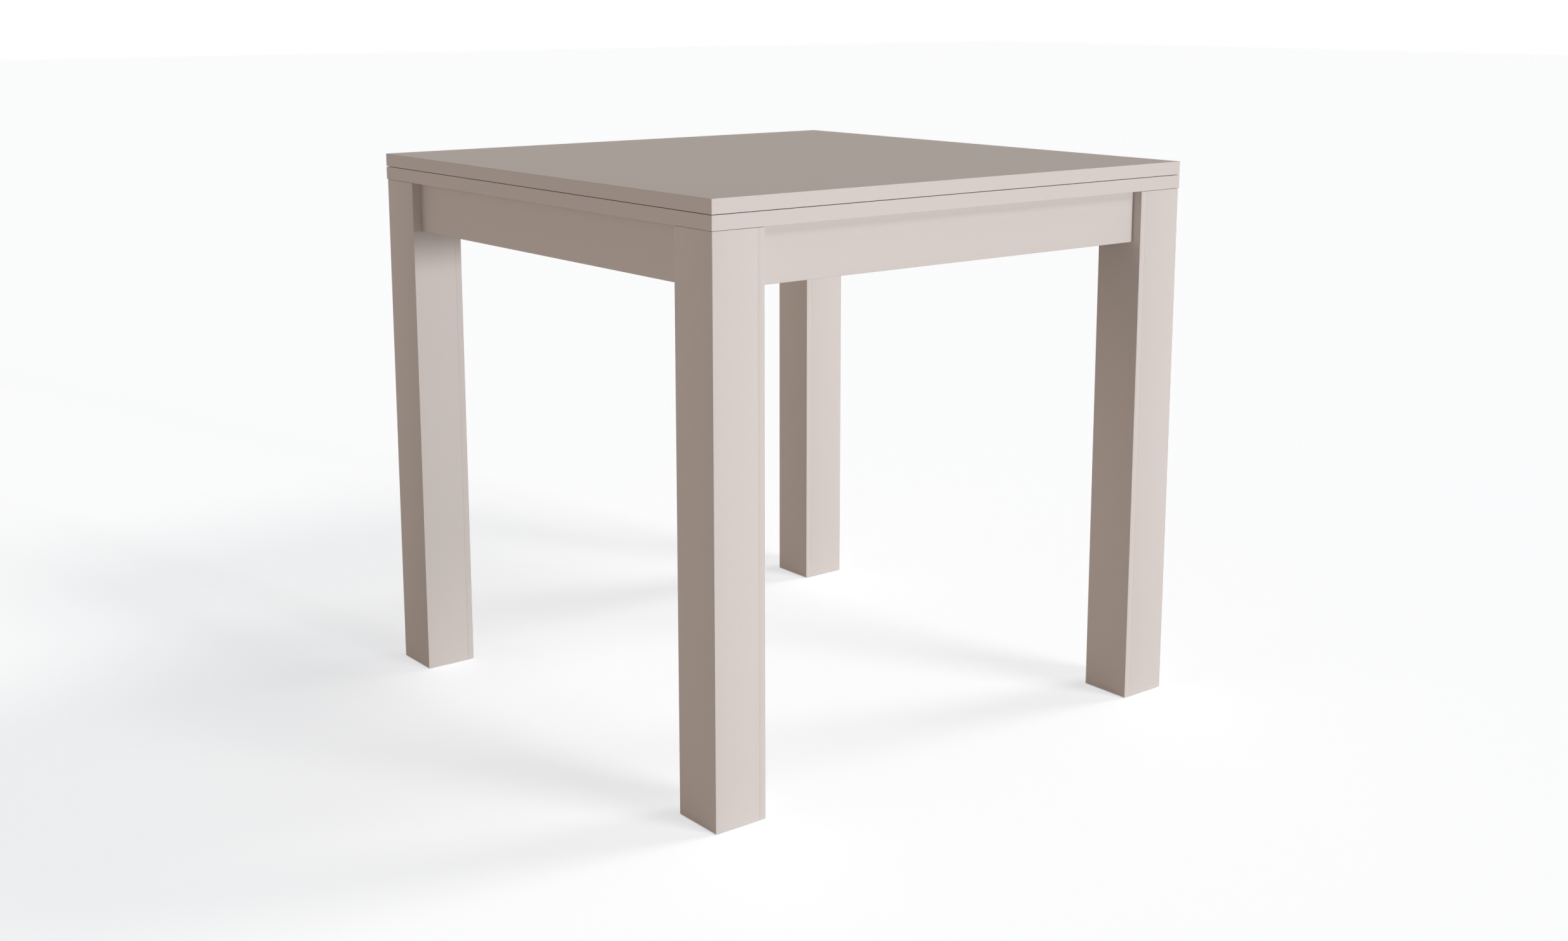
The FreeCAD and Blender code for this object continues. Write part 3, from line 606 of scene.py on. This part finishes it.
# %% Aprons and cross rails
APRON_BACK, APRON_FACE = span("back_apron", Y)
APRON_LOW, APRON_HIGH = span("back_apron", Z)
RAIL_LOW, RAIL_HIGH = span("pivot_rail", Z)
RAIL_EDGES = span("pivot_rail", X)
APRON_ARRIS, RAIL_ARRIS = 0.7, 0.4


def rectangle(wide, tall, radius):
    """A profile round its own middle."""
    x, y = wide / 2, tall / 2
    return [(-x, -y, radius), (x, -y, radius), (x, y, radius), (-x, y, radius)]


middle = (APRON_BACK + APRON_FACE) / 2
height = (APRON_LOW + APRON_HIGH) / 2
apron_runs = {
    "front_apron": [(-LEG_IN, -middle, height), (LEG_IN, -middle, height)],
    "back_apron": [(-LEG_IN, middle, height), (LEG_IN, middle, height)],
    "left_apron": [(-middle, -LEG_IN, height), (-middle, LEG_IN, height)],
    "right_apron": [(middle, -LEG_IN, height), (middle, LEG_IN, height)],
}
apron_profile = rectangle(APRON_FACE - APRON_BACK, APRON_HIGH - APRON_LOW, APRON_ARRIS)
for name, run in apron_runs.items():
    board = push("foil_" + name, [run], apron_profile, level_foil, "apron_board", [name])
    bare(board, fibreboard, (0, 0, 1))
rail_x = (RAIL_EDGES[0] + RAIL_EDGES[1]) / 2
rail_z = (RAIL_LOW + RAIL_HIGH) / 2
rail_profile = rectangle(RAIL_EDGES[1] - RAIL_EDGES[0], RAIL_HIGH - RAIL_LOW, RAIL_ARRIS)
for name, x in (("pivot_rail", rail_x), ("cross_rail", -rail_x)):
    run = [(x, -APRON_BACK, rail_z), (x, APRON_BACK, rail_z)]
    push("sanded_" + name, [run], rail_profile, chipboard, "rail_board", [name])


# %% [markdown]
# Steel strip is bent cold. A corner bracket runs along one apron, crosses the corner square to the
# leg bolt and runs along the next apron. A rail angle is a short L. Both are a sheared strip with
# slightly rolled edges, pushed along a path whose corners are rounded by the press's inside radius.

# %% Brackets and angles
SHEET = 2.0
EDGE_ROLL = 0.35
BRACKET_LOW, BRACKET_HIGH = span("corner_bracket_back_right", Z)
BRACKET_FLANGE, BRACKET_SETBACK = 45.0, 20.0
BRACKET_BEND, ANGLE_BEND = 3.0, 2.0
ANGLE_LOW, ANGLE_HIGH = span("rail_angles", Z)
ANGLE_LEG = span("rail_angles", X)[1] - RAIL_EDGES[1]

web = LEG_IN - BRACKET_SETBACK / math.sqrt(2)
web_end = 2 * web - APRON_BACK
bracket_z = (BRACKET_LOW + BRACKET_HIGH) / 2
line = APRON_BACK - SHEET / 2
bend_at = web_end + SHEET / 2 - SHEET / math.sqrt(2)
flange_end = web_end - BRACKET_FLANGE
bracket_runs = []
for sx, sy in CORNERS.values():
    strip = [(flange_end, line), (bend_at, line), (line, bend_at), (line, flange_end)]
    bracket_runs.append([(sx * x, sy * y, bracket_z) for x, y in strip])
bracket_profile = rectangle(SHEET, BRACKET_HIGH - BRACKET_LOW, EDGE_ROLL)
brackets = ["corner_bracket_" + corner for corner in CORNERS]
push("bent_corner_brackets", bracket_runs, bracket_profile, *SHEET_ZINC, brackets, bend=BRACKET_BEND)


def angle_corners():
    """Where a rail's edge meets an apron: the edge, the way out of the rail, the apron and its end."""
    return [
        (x + way * (RAIL_EDGES[1] - rail_x), way, end * APRON_BACK, end)
        for x in (-rail_x, rail_x) for way in (-1, 1) for end in (-1, 1)
    ]


angle_runs = []
for edge, way, apron, end in angle_corners():
    beside, before = edge + way * SHEET / 2, apron - end * SHEET / 2
    tip, foot = apron - end * ANGLE_LEG, edge + way * ANGLE_LEG
    angle_runs.append([(beside, tip, rail_z), (beside, before, rail_z), (foot, before, rail_z)])
angle_profile = rectangle(SHEET, ANGLE_HIGH - ANGLE_LOW, EDGE_ROLL)
push("bent_rail_angles", angle_runs, angle_profile, *SHEET_ZINC, ["rail_angles"], bend=ANGLE_BEND)


# %% [markdown]
# ## Turned parts
#
# The tree lays a grid of columns round the axis and gives each row the radius and height of a point
# of the half outline. Three more values can ride on a point. cut is the depth of a groove and turns
# says how far round the groove has wound there, so the same rule cuts a coarse wood thread, a fine
# machine thread or, with many starts and no winding, the flutes of a dowel. face marks the rows of a
# screw's head that its cross recess goes into. Across flats trims the radius to a hexagon, which
# leaves the curved chamfer lines of a real nut. The grid's seam and its pole are merged, edges
# sharper than 35 degrees stay crisp, and a copy goes to each place, turned to its way.

# %% The tree for turned parts: rows and columns
turned, given = group("turned_part", [
    ("Profile", "Object"), ("Columns", "Int"), ("Starts", "Int"), ("Across flats", "Float"),
    ("Recess reach", "Float"), ("Recess arm", "Float"), ("Recess depth", "Float"), ("Finish", "Material"),
])
half = add(turned, "GeometryNodeObjectInfo", {"Object": given["Profile"]}).outputs["Geometry"]
rows = add(turned, "GeometryNodeAttributeDomainSize", {"Geometry": half}, component="MESH")
rows = rows.outputs["Point Count"]
ring_count = add(turned, MATH, [given["Columns"], 1.0], "ADD")
grid = add(turned, "GeometryNodeMeshGrid", {"Vertices X": ring_count, "Vertices Y": rows})
index = add(turned, "GeometryNodeInputIndex")
row = add(turned, MATH, [index, rows], "MODULO")
column = add(turned, MATH, [index, rows], "DIVIDE")
column = add(turned, MATH, [column], "FLOOR")
share = add(turned, MATH, [column, given["Columns"]], "DIVIDE")
angle = add(turned, MATH, [share, math.tau], "MULTIPLY")
spot = add(turned, "GeometryNodeInputPosition")
spot = add(
    turned, "GeometryNodeSampleIndex", {"Geometry": half, "Value": spot, "Index": row},
    data_type="FLOAT_VECTOR", domain="POINT",
)
spot = add(turned, "ShaderNodeSeparateXYZ", [spot])
rides = {}
for key in ("cut", "turns", "face"):
    value = add(turned, "GeometryNodeInputNamedAttribute", {"Name": key}, data_type="FLOAT")
    rides[key] = add(
        turned, "GeometryNodeSampleIndex", {"Geometry": half, "Value": value, "Index": row},
        data_type="FLOAT", domain="POINT",
    )
print("rows and columns take", len(turned.nodes), "nodes")

# %% The tree for turned parts: groove, hexagon and recess
HEX = math.pi / 3

phase = add(turned, MATH, [share, given["Starts"], rides["turns"]], "MULTIPLY_ADD")
groove = add(turned, MATH, [phase, 0.5], "PINGPONG")
groove = add(turned, MATH, [groove, -2.0], "MULTIPLY")
radius = add(turned, MATH, [groove, rides["cut"], spot.outputs["X"]], "MULTIPLY_ADD")
facet = angle
for operation, number in (("ADD", HEX / 2), ("MODULO", HEX), ("SUBTRACT", HEX / 2), ("COSINE", 0.0)):
    facet = add(turned, MATH, [facet, number], operation)
flat = add(turned, MATH, [given["Across flats"], 0.5], "MULTIPLY")
flat = add(turned, MATH, [flat, facet], "DIVIDE")
round_bar = add(turned, MATH, [given["Across flats"], 1e-6], "LESS_THAN")
limit = add(turned, MATH, [flat, round_bar], "ADD")
radius = add(turned, MATH, [radius, limit], "MINIMUM")
flat_way = [add(turned, MATH, [angle], wave) for wave in ("COSINE", "SINE")]
across, up = [add(turned, MATH, [part, radius], "MULTIPLY") for part in flat_way]
arm = [add(turned, MATH, [part], "ABSOLUTE") for part in (across, up)]
arm = add(turned, MATH, [arm[0], arm[1]], "MINIMUM")
arm = add(turned, MATH, [arm, given["Recess arm"]], "LESS_THAN")
within = add(turned, MATH, [radius, given["Recess reach"]], "LESS_THAN")
within = add(turned, MATH, [within, arm], "MULTIPLY")
within = add(turned, MATH, [within, rides["face"]], "MULTIPLY")
deep = add(turned, MATH, [within, given["Recess depth"], spot.outputs["Z"]], "MULTIPLY_ADD")
print("with groove, hexagon and recess", len(turned.nodes), "nodes")

# %% The tree for turned parts: one shape at many places
SEAM_MERGE, CRISP = 0.004 * MM, math.radians(35)

place = add(turned, "ShaderNodeCombineXYZ", [across, up, deep])
shaped = add(turned, "GeometryNodeSetPosition", {"Geometry": grid.outputs["Mesh"], "Position": place})
closed = add(turned, "GeometryNodeMergeByDistance", {"Geometry": shaped, "Distance": SEAM_MERGE})
smooth = add(turned, "GeometryNodeSetShadeSmooth", {"Geometry": closed, "Shade Smooth": True}, domain="FACE")
bend = add(turned, "GeometryNodeInputMeshEdgeAngle")
crisp = add(turned, MATH, [bend.outputs["Unsigned Angle"], CRISP], "GREATER_THAN")
crisp = add(
    turned, "GeometryNodeSetShadeSmooth", {"Geometry": smooth, "Selection": crisp, "Shade Smooth": False},
    domain="EDGE",
)
way, level = [
    add(turned, "GeometryNodeInputNamedAttribute", {"Name": key}, data_type="FLOAT_VECTOR")
    for key in ("way", "side")
]
turn = add(turned, "FunctionNodeAlignRotationToVector", {"Vector": way}, axis="Z")
turn = add(
    turned, "FunctionNodeAlignRotationToVector", {"Rotation": turn, "Vector": level}, axis="X",
    pivot_axis="Z",
)
copies = add(
    turned, "GeometryNodeInstanceOnPoints",
    {"Points": given["Geometry"], "Instance": crisp, "Rotation": turn},
)
real = add(turned, "GeometryNodeRealizeInstances", {"Geometry": copies})
painted = add(turned, "GeometryNodeSetMaterial", {"Geometry": real, "Material": given["Finish"]})
add(turned, "NodeGroupOutput", [painted])
print("turned_part has", len(turned.nodes), "nodes")


# %% [markdown]
# A turned part's half outline is a list of rows: radius and height in millimetres, then cut, turns and
# face where they aren't nothing. Heights grow in the direction that the part is driven or points. The
# places are loose points, each with that way and with the side that a nut's flat faces.

# %% Half outlines and places
def half_outline(name, rows):
    """An object whose points are the rows of a turned part."""
    mesh = bpy.data.meshes.new(name)
    mesh.from_pydata([(row[0] * MM, 0, row[1] * MM) for row in rows], [], [])
    for key, column, unit in (("cut", 2, MM), ("turns", 3, 1.0), ("face", 4, 1.0)):
        values = [row[column] * unit if len(row) > column else 0.0 for row in rows]
        mesh.attributes.new(key, "FLOAT", "POINT").data.foreach_set("value", values)
    return put(name, mesh)


def thread(radius, start, end, pitch, depth, rows_per_turn=6):
    """Rows of a thread. It runs in and out over one turn at its ends."""
    count = max(2, round((end - start) / pitch * rows_per_turn))
    made = []
    for i in range(count + 1):
        z = start + (end - start) * i / count
        fade = min(1.0, (z - start) / pitch, (end - z) / pitch)
        made.append((radius, z, depth * fade, (z - start) / pitch))
    return made


def turn_out(
    name, rows, places, finish, slot, body, stands_for, columns=32, starts=1, flats=0.0, recess=(0, 0, 0)
):
    """Copies of one turned part. places are (point, way, side), and recess is (reach, arm, depth)."""
    mesh = bpy.data.meshes.new(name)
    mesh.from_pydata([[c * MM for c in spot] for spot, _, _ in places], [], [])
    for key, pick in (("way", 1), ("side", 2)):
        flat = [c for entry in places for c in entry[pick]]
        mesh.attributes.new(key, "FLOAT_VECTOR", "POINT").data.foreach_set("vector", flat)
    drawing = half_outline(name + "_half", rows)
    reach, arm, depth = [size * MM for size in recess]
    inputs = {
        "Profile": drawing, "Columns": columns, "Starts": starts, "Across flats": flats * MM,
        "Recess reach": reach, "Recess arm": arm, "Recess depth": depth, "Finish": finish,
    }
    piece = run_tree(name, mesh, turned, inputs, body, stands_for)
    bpy.data.objects.remove(drawing)
    return piece


def at_corners(spots):
    """Places made for the back right corner, mirrored to all four."""
    return [
        ((sx * p[0], sy * p[1], p[2]), (sx * w[0], sy * w[1], w[2]), s)
        for sx, sy in CORNERS.values() for p, w, s in spots
    ]


UP, DOWN, X_WAY, Y_WAY = (0, 0, 1), (0, 0, -1), (1, 0, 0), (0, 1, 0)
print("a coarse thread of 10 mm has", len(thread(1.9, 0, 10, 1.8, 0.5)), "rows")


# %% [markdown]
# The wood screws are 3.8 mm thick with a coarse thread and a sharp point. Those that hold brackets
# and angles have domed heads that stand on the steel. Those in the swivel plates and hinges have
# countersunk heads that lie flush. All have a cross recess, and their heads' rows lie closer there.

# %% Wood screws
SCREW, HEAD = 1.9, 3.8
SCREW_PITCH, SCREW_CUT = 1.8, 0.55
BRACKET_SCREW, PLATE_SCREW, HINGE_SCREW = 16, 15, 24
BRACKET_INSET, ANGLE_INSET, PLATE_INSET, HINGE_INSET = 12.0, 16.0, 11.0, 6.5
CROSS = (2.3, 0.55, 1.5)
HEAD_ROWS = [0.0, 0.5, 0.7, 1.0, 1.4, 1.8, 2.1, 2.35]


def screw_rows(length, head):
    """A screw's rows: its head's, then the thread and the point."""
    straight = length - 2 * SCREW
    start = head[-1][1] + 0.8
    body = thread(SCREW, start, straight, SCREW_PITCH, SCREW_CUT, 5)
    last = body[-1][3]
    return head + body + [(SCREW * 0.55, straight + 1.9, 0.2, last + 1.0), (0.0, length)]


domed = [(r, -2.2 + 0.02 * r * r, 0, 0, 1) for r in HEAD_ROWS]
domed += [(2.9, -1.95), (3.4, -1.45), (3.7, -0.8), (HEAD, -0.25), (HEAD, 0.0), (SCREW, 0.0)]
sunk = [(r, 0.0, 0, 0, 1) for r in HEAD_ROWS] + [(3.2, 0.0), (3.7, 0.02), (SCREW, 1.9)]


def screws(name, length, head, spots, body, node):
    """Wood screws of one length that stand for a node."""
    turn_out(name, screw_rows(length, head), spots, *ZINC, body, [node], columns=24, recess=CROSS)


bracket_spots = []
for inset in (BRACKET_INSET, BRACKET_FLANGE - BRACKET_INSET):
    bracket_spots.append(((web_end - inset, APRON_BACK - SHEET, bracket_z), Y_WAY, UP))
    bracket_spots.append(((APRON_BACK - SHEET, web_end - inset, bracket_z), X_WAY, UP))
screws("domed_bracket_screws", BRACKET_SCREW, domed, at_corners(bracket_spots), "frame", "bracket_screws")

angle_spots = []
for edge, way, apron, end in angle_corners():
    angle_spots.append(((edge + way * SHEET, apron - end * ANGLE_INSET, rail_z), (-way, 0, 0), UP))
    angle_spots.append(((edge + way * ANGLE_INSET, apron - end * SHEET, rail_z), (0, end, 0), UP))
screws("domed_angle_screws", PLATE_SCREW, domed, angle_spots, "frame", "rail_angle_screws")

# %% Screws in the swivel plates and hinges
PIVOT = (middle_of("swivel_lower_plate", X), middle_of("swivel_lower_plate", Y))
HINGE_WIDE = 44.0
hinge_x = span("lower_hinge_bodies", X)[1] - HINGE_WIDE / 2
back_edge = span("lower_leaf_edging", Y)[1]

plate_reach = span("swivel_lower_plate", X)[1] - PIVOT[0] - PLATE_INSET
plate_corners = [(PIVOT[0] + sx * plate_reach, PIVOT[1] + sy * plate_reach) for sx, sy in CORNERS.values()]
hinge_reach = HINGE_WIDE / 2 - HINGE_INSET
hinge_ends = [x + side * hinge_reach for x in (-hinge_x, hinge_x) for side in (-1, 1)]
for level, z, way, rider in (
    ("lower", span("swivel_lower_plate", Z)[1], DOWN, "frame"),
    ("upper", span("swivel_upper_plate", Z)[0], UP, "lower_top"),
):
    spots = [((x, y, z), way, X_WAY) for x, y in plate_corners]
    screws("sunk_" + level + "_plate_screws", PLATE_SCREW, sunk, spots, rider, level + "_plate_screws")
for level, rider in (("lower", "lower_top"), ("upper", "upper_top")):
    node = level + "_hinge_screws"
    spots = [((x, back_edge, middle_of(node, Z)), (0, -1, 0), UP) for x in hinge_ends]
    screws("sunk_" + node, HINGE_SCREW, sunk, spots, rider, node)


# %% [markdown]
# The leg bolts are hanger bolts: a coarse wood thread that bites in the leg's block, a plain waist,
# and a machine thread that comes through the bracket for the washer and the nut. They run along the
# corner's diagonal, and start is counted along it from the bracket's web. The nut's flats lie level,
# so a spanner goes on from below.

# %% Leg bolts, washers and nuts
DIAGONAL = (math.sqrt(0.5), math.sqrt(0.5), 0.0)
BOLT, BOLT_PITCH, BOLT_CUT = 4.0, 1.25, 0.6
BOLT_TAIL, BOLT_THREAD, BOLT_WAIST, BOLT_LONG = 16.0, 34.0, 42.0, 83.0
BITE_PITCH, BITE_CUT = 3.2, 1.1
SLIP = 0.03
WASHER, WASHER_THICK = 10.0, 2.0
NUT_FLATS, NUT_TALL = 13.0, 6.5


def washer_rows(outside, bore, thick, ease=0.25):
    """A ring with eased edges, closed on itself."""
    return [
        (bore, ease), (bore + ease, 0.0), (outside - ease, 0.0), (outside, ease), (outside, thick - ease),
        (outside - ease, thick), (bore + ease, thick), (bore, thick - ease), (bore, ease),
    ]


def nut_rows(flats, bore, tall):
    """A nut's rows. The corners are cut back at both ends, and the bore is countersunk."""
    corner = flats / math.sqrt(3)
    cone, mouth = flats / 2 - 0.15, bore + 0.7
    slope = (corner - cone) * 0.5
    return [
        (bore, 0.7), (mouth, 0.0), (cone, 0.0), (corner, slope), (corner, tall - slope), (cone, tall),
        (mouth, tall), (bore, tall - 0.7), (bore, 0.7),
    ]


bolt_rows = [(0.0, 0.0), (3.1, 0.0), (3.6, 0.4)] + thread(BOLT, 0.9, BOLT_THREAD, BOLT_PITCH, BOLT_CUT)
bolt_rows += [(BOLT, BOLT_THREAD + 1), (BOLT, BOLT_WAIST)]
bolt_rows += thread(BOLT, BOLT_WAIST + 1, BOLT_LONG - 4, BITE_PITCH, BITE_CUT, 7)
bolt_rows += [(2.2, BOLT_LONG - 1.5), (0.0, BOLT_LONG)]
washer = washer_rows(WASHER, BOLT + SLIP, WASHER_THICK)
nut = nut_rows(NUT_FLATS, BOLT + SLIP, NUT_TALL)
washer_start = -SHEET - WASHER_THICK
for name, rows, start, node, columns, flats in (
    ("threaded_leg_bolts", bolt_rows, -SHEET - BOLT_TAIL, "leg_bolts", 32, 0.0),
    ("eased_leg_washers", washer, washer_start, "leg_bolt_washers", 48, 0.0),
    ("chamfered_leg_nuts", nut, washer_start - NUT_TALL, "leg_bolt_nuts", 48, NUT_FLATS),
):
    past_web = web + DIAGONAL[0] * start
    places = at_corners([((past_web, past_web, bracket_z), DIAGONAL, UP)])
    turn_out(name, rows, places, *ZINC, "frame", [node], columns=columns, flats=flats)


# %% [markdown]
# Each leg stands on a nylon glide whose threaded stem turns in a brass insert, so that the table can
# be levelled. The aprons and legs are joined by fluted beech dowels, whose flutes let the glue spread.

# %% Glides, inserts and dowels
GLIDE, GLIDE_FOOT, GLIDE_LONG = 14.0, 3.5, 25.5
INSERT, INSERT_LONG, INSERT_PITCH, INSERT_CUT = 6.0, 15.0, 2.5, 0.9
DOWEL, DOWEL_LONG, DOWEL_IN_APRON = 4.0, 35.0, 15.0
FLUTES, FLUTE_CUT = 12, 0.35

leg_middle = (LEG_OUT + LEG_IN) / 2


def in_feet(node):
    """Places in the middle of all four legs, at a node's lower end."""
    return at_corners([((leg_middle, leg_middle, span(node, Z)[0]), UP, X_WAY)])


glide_rows = [
    (0.0, 0.0), (GLIDE - 1.4, 0.0), (GLIDE - 0.5, 0.3), (GLIDE, 0.9), (GLIDE, GLIDE_FOOT - 0.3),
    (GLIDE - 0.3, GLIDE_FOOT), (BOLT + 0.6, GLIDE_FOOT), (BOLT, GLIDE_FOOT + 0.5),
]
glide_rows += thread(BOLT, GLIDE_FOOT + 0.9, GLIDE_LONG - 0.9, BOLT_PITCH, BOLT_CUT)
glide_rows += [(3.3, GLIDE_LONG), (0.0, GLIDE_LONG)]
turn_out("moulded_glides", glide_rows, in_feet("leg_glides"), *NYLON, "frame", ["leg_glides"], columns=48)
bore = BOLT + SLIP
insert_rows = [(bore, 0.5), (4.5, 0.0), (5.3, 0.0)]
insert_rows += thread(INSERT, 0.5, INSERT_LONG - 0.5, INSERT_PITCH, INSERT_CUT)
insert_rows += [(5.3, INSERT_LONG), (4.5, INSERT_LONG), (bore, INSERT_LONG - 0.5), (bore, 0.5)]
turn_out("threaded_inserts", insert_rows, in_feet("glide_inserts"), *BRASS, "frame", ["glide_inserts"])

dowel_start = LEG_IN - DOWEL_IN_APRON
dowel_ends = span("apron_dowels", Z)
dowel_spots = []
for z in (dowel_ends[0] + DOWEL, dowel_ends[1] - DOWEL):
    dowel_spots.append(((dowel_start, middle, z), X_WAY, UP))
    dowel_spots.append(((middle, dowel_start, z), Y_WAY, UP))
dowel_rows = [(0.0, 0.0), (DOWEL - 0.9, 0.0), (DOWEL, 1.2)]
dowel_rows += [(DOWEL, 1.6, FLUTE_CUT), (DOWEL, DOWEL_LONG - 1.6, FLUTE_CUT)]
dowel_rows += [(DOWEL, DOWEL_LONG - 1.2), (DOWEL - 0.9, DOWEL_LONG), (0.0, DOWEL_LONG)]
turn_out(
    "fluted_dowels", dowel_rows, at_corners(dowel_spots), beech, "block_wood", "frame", ["apron_dowels"],
    columns=48, starts=FLUTES,
)


# %% [markdown]
# The top slides on nylon buttons and turns on one bolt. Going down the bolt: its flat head is sunk in
# the lower leaf over the upper plate, then come the disc that the plates turn on, the lower plate,
# the rail, a nylon wear washer, a steel washer, a coned spring that keeps the pressure even, and a
# lock nut with its collar downwards. A stud in the upper plate runs in the lower plate's slot and
# stops the quarter turn. The buttons end SLIP under the leaf that slides on them.

# %% Buttons and the swivel's turned parts
BUTTON, BUTTON_STEM, BUTTON_SEAT = 8.0, 2.5, 8.0
DISC, WEAR_WASHER, PIVOT_WASHER, LOOSE_BORE = 30.0, 14.0, 12.0, 5.3
PIVOT_BOLT, PIVOT_FLATS, PIVOT_HEAD = 5.0, 17.0, 10.0
PIVOT_THREAD, PIVOT_SHANK, PIVOT_LONG = 17.0, 48.0, 53.0
PIVOT_PITCH, PIVOT_CUT = 1.5, 0.75
STUD, STUD_LONG, STUD_ORBIT = 4.0, 6.7, 38.0


def on_pivot(node, aside=0.0):
    """One place on the pivot's axis, or aside of it along X, at a node's lower end."""
    return [((PIVOT[0] + aside, PIVOT[1], span(node, Z)[0]), UP, X_WAY)]


low, high = span("frame_buttons", Z)
top = high - low - SLIP
button_rows = [
    (0.0, 0.0), (BUTTON_STEM - 0.4, 0.0), (BUTTON_STEM, 0.5), (BUTTON_STEM, BUTTON_SEAT),
    (BUTTON - 0.2, BUTTON_SEAT), (BUTTON, BUTTON_SEAT + 0.15), (BUTTON - 0.2, BUTTON_SEAT + 0.33),
    (BUTTON - 1, top), (0.0, top),
]
seats = [(sx * leg_middle, sy * leg_middle) for sx, sy in CORNERS.values()]
seats += [(0, middle), (0, -middle), (middle, 0), (-middle, 0)]
button_spots = [((x, y, low), UP, X_WAY) for x, y in seats]
turn_out("moulded_buttons", button_rows, button_spots, *NYLON, "frame", ["frame_buttons"])

bore = PIVOT_BOLT + SLIP
disc_rows = washer_rows(DISC, LOOSE_BORE, WASHER_THICK)
wear_rows = washer_rows(WEAR_WASHER, LOOSE_BORE, WASHER_THICK)
steel_rows = washer_rows(PIVOT_WASHER, bore, WASHER_THICK)
spring_rows = [
    (bore, 0.1), (5.2, 0.0), (9.8, 0.95), (10.0, 1.15), (10.0, 1.9), (9.8, 2.0), (5.2, 1.05), (bore, 0.9),
    (bore, 0.1),
]
lock_rows = [
    (bore, 0.4), (5.6, 0.0), (7.3, 0.0), (7.9, 0.5), (7.9, 2.4), (8.35, 2.6), (9.81, 3.4), (9.81, 9.3),
    (8.35, 10.0), (5.8, 10.0), (bore, 9.3), (bore, 0.4),
]
pivot_rows = [(0.0, 0.0), (4.0, 0.0), (4.5, 0.5)]
pivot_rows += thread(PIVOT_BOLT, 1.0, PIVOT_THREAD, PIVOT_PITCH, PIVOT_CUT)
pivot_rows += [(PIVOT_BOLT, PIVOT_THREAD + 1), (PIVOT_BOLT, PIVOT_SHANK), (PIVOT_HEAD, PIVOT_SHANK)]
pivot_rows += [(PIVOT_HEAD, PIVOT_LONG - 0.6), (PIVOT_HEAD - 0.6, PIVOT_LONG), (0.0, PIVOT_LONG)]
stud_rows = [(0.0, 0.0), (STUD - 1, 0.0), (STUD - 0.3, 0.3), (STUD, 0.9)]
stud_rows += [(STUD, STUD_LONG), (0.0, STUD_LONG)]
for name, rows, skin, rider, node, columns, flats in (
    ("moulded_swivel_disc", disc_rows, NYLON, "frame", "swivel_disc", 72, 0.0),
    ("moulded_wear_washer", wear_rows, NYLON, "frame", "pivot_wear_washer", 48, 0.0),
    ("eased_pivot_washer", steel_rows, ZINC, "lower_top", "pivot_washer", 48, 0.0),
    ("coned_pivot_spring", spring_rows, ZINC, "lower_top", "pivot_spring", 48, 0.0),
    ("collared_lock_nut", lock_rows, ZINC, "lower_top", "pivot_lock_nut", 48, PIVOT_FLATS),
    ("threaded_pivot_bolt", pivot_rows, ZINC, "lower_top", "pivot_bolt", 48, 0.0),
):
    turn_out(name, rows, on_pivot(node), *skin, rider, [node], columns=columns, flats=flats)
turn_out(
    "rounded_stop_stud", stud_rows, on_pivot("stop_stud", -STUD_ORBIT), *ZINC, "lower_top", ["stop_stud"],
)

# %% Hinge pins
PIN, PIN_LONG, PIN_EASE = 1.3, 22.4, 0.3

pin_rows = [(0.0, 0.0), (PIN - PIN_EASE, 0.0), (PIN, PIN_EASE), (PIN, PIN_LONG - PIN_EASE)]
pin_rows += [(PIN - PIN_EASE, PIN_LONG), (0.0, PIN_LONG)]
for level, rider in (("lower", "lower_top"), ("upper", "upper_top")):
    node = level + "_hinge_pins"
    y, z = middle_of(node, Y), middle_of(node, Z)
    spots = [((x - PIN_LONG / 2, y, z), X_WAY, UP) for x in (-hinge_x, hinge_x)]
    turn_out("ground_" + node, pin_rows, spots, *ZINC, rider, [node], columns=20)


# %% [markdown]
# ## Softened castings and plates
#
# Hinge bodies, links and swivel plates have holes, notches and slots that no outline or lathe gives,
# so they start from their solids. A copy of the solid's mesh is merged, its flat faces are joined up
# again, and every sharp edge is rolled over by about a quarter of a millimetre, as tumbling does to
# a casting and deburring to a pressed plate.

# %% Softened copies
CORNER_GAP = 0.002 * MM
FLAT, SHARP = math.radians(1), math.radians(50)


def soften(name, node, finish, slot, body, roll):
    """A copy of a node's solid with its sharp edges rolled over."""
    mesh = nodes[node].data.copy()
    clean(mesh, CORNER_GAP, FLAT)
    mesh.materials.clear()
    mesh.materials.append(finish)
    piece = put(name, mesh)
    bevel = piece.modifiers.new("roll", "BEVEL")
    bevel.width = roll * MM
    bevel.segments = 2
    bevel.limit_method = "ANGLE"
    bevel.angle_limit = SHARP
    made = plain(piece)
    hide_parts(node)
    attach(piece, body)
    print(name, len(made.polygons), "faces")
    return piece


soften("tumbled_lower_hinge_bodies", "lower_hinge_bodies", *NICKEL, "lower_top", 0.25)
soften("tumbled_upper_hinge_bodies", "upper_hinge_bodies", *NICKEL, "upper_top", 0.25)
soften("tumbled_hinge_links", "hinge_links", *NICKEL, "fold_links", 0.2)
soften("pressed_lower_plate", "swivel_lower_plate", *SHEET_ZINC, "frame", 0.3)
soften("pressed_upper_plate", "swivel_upper_plate", *SHEET_ZINC, "lower_top", 0.3)


# %% [markdown]
# ## Close
#
# Colours go to the screen as they are.

# %% Close
scene.view_settings.view_transform = "Standard"
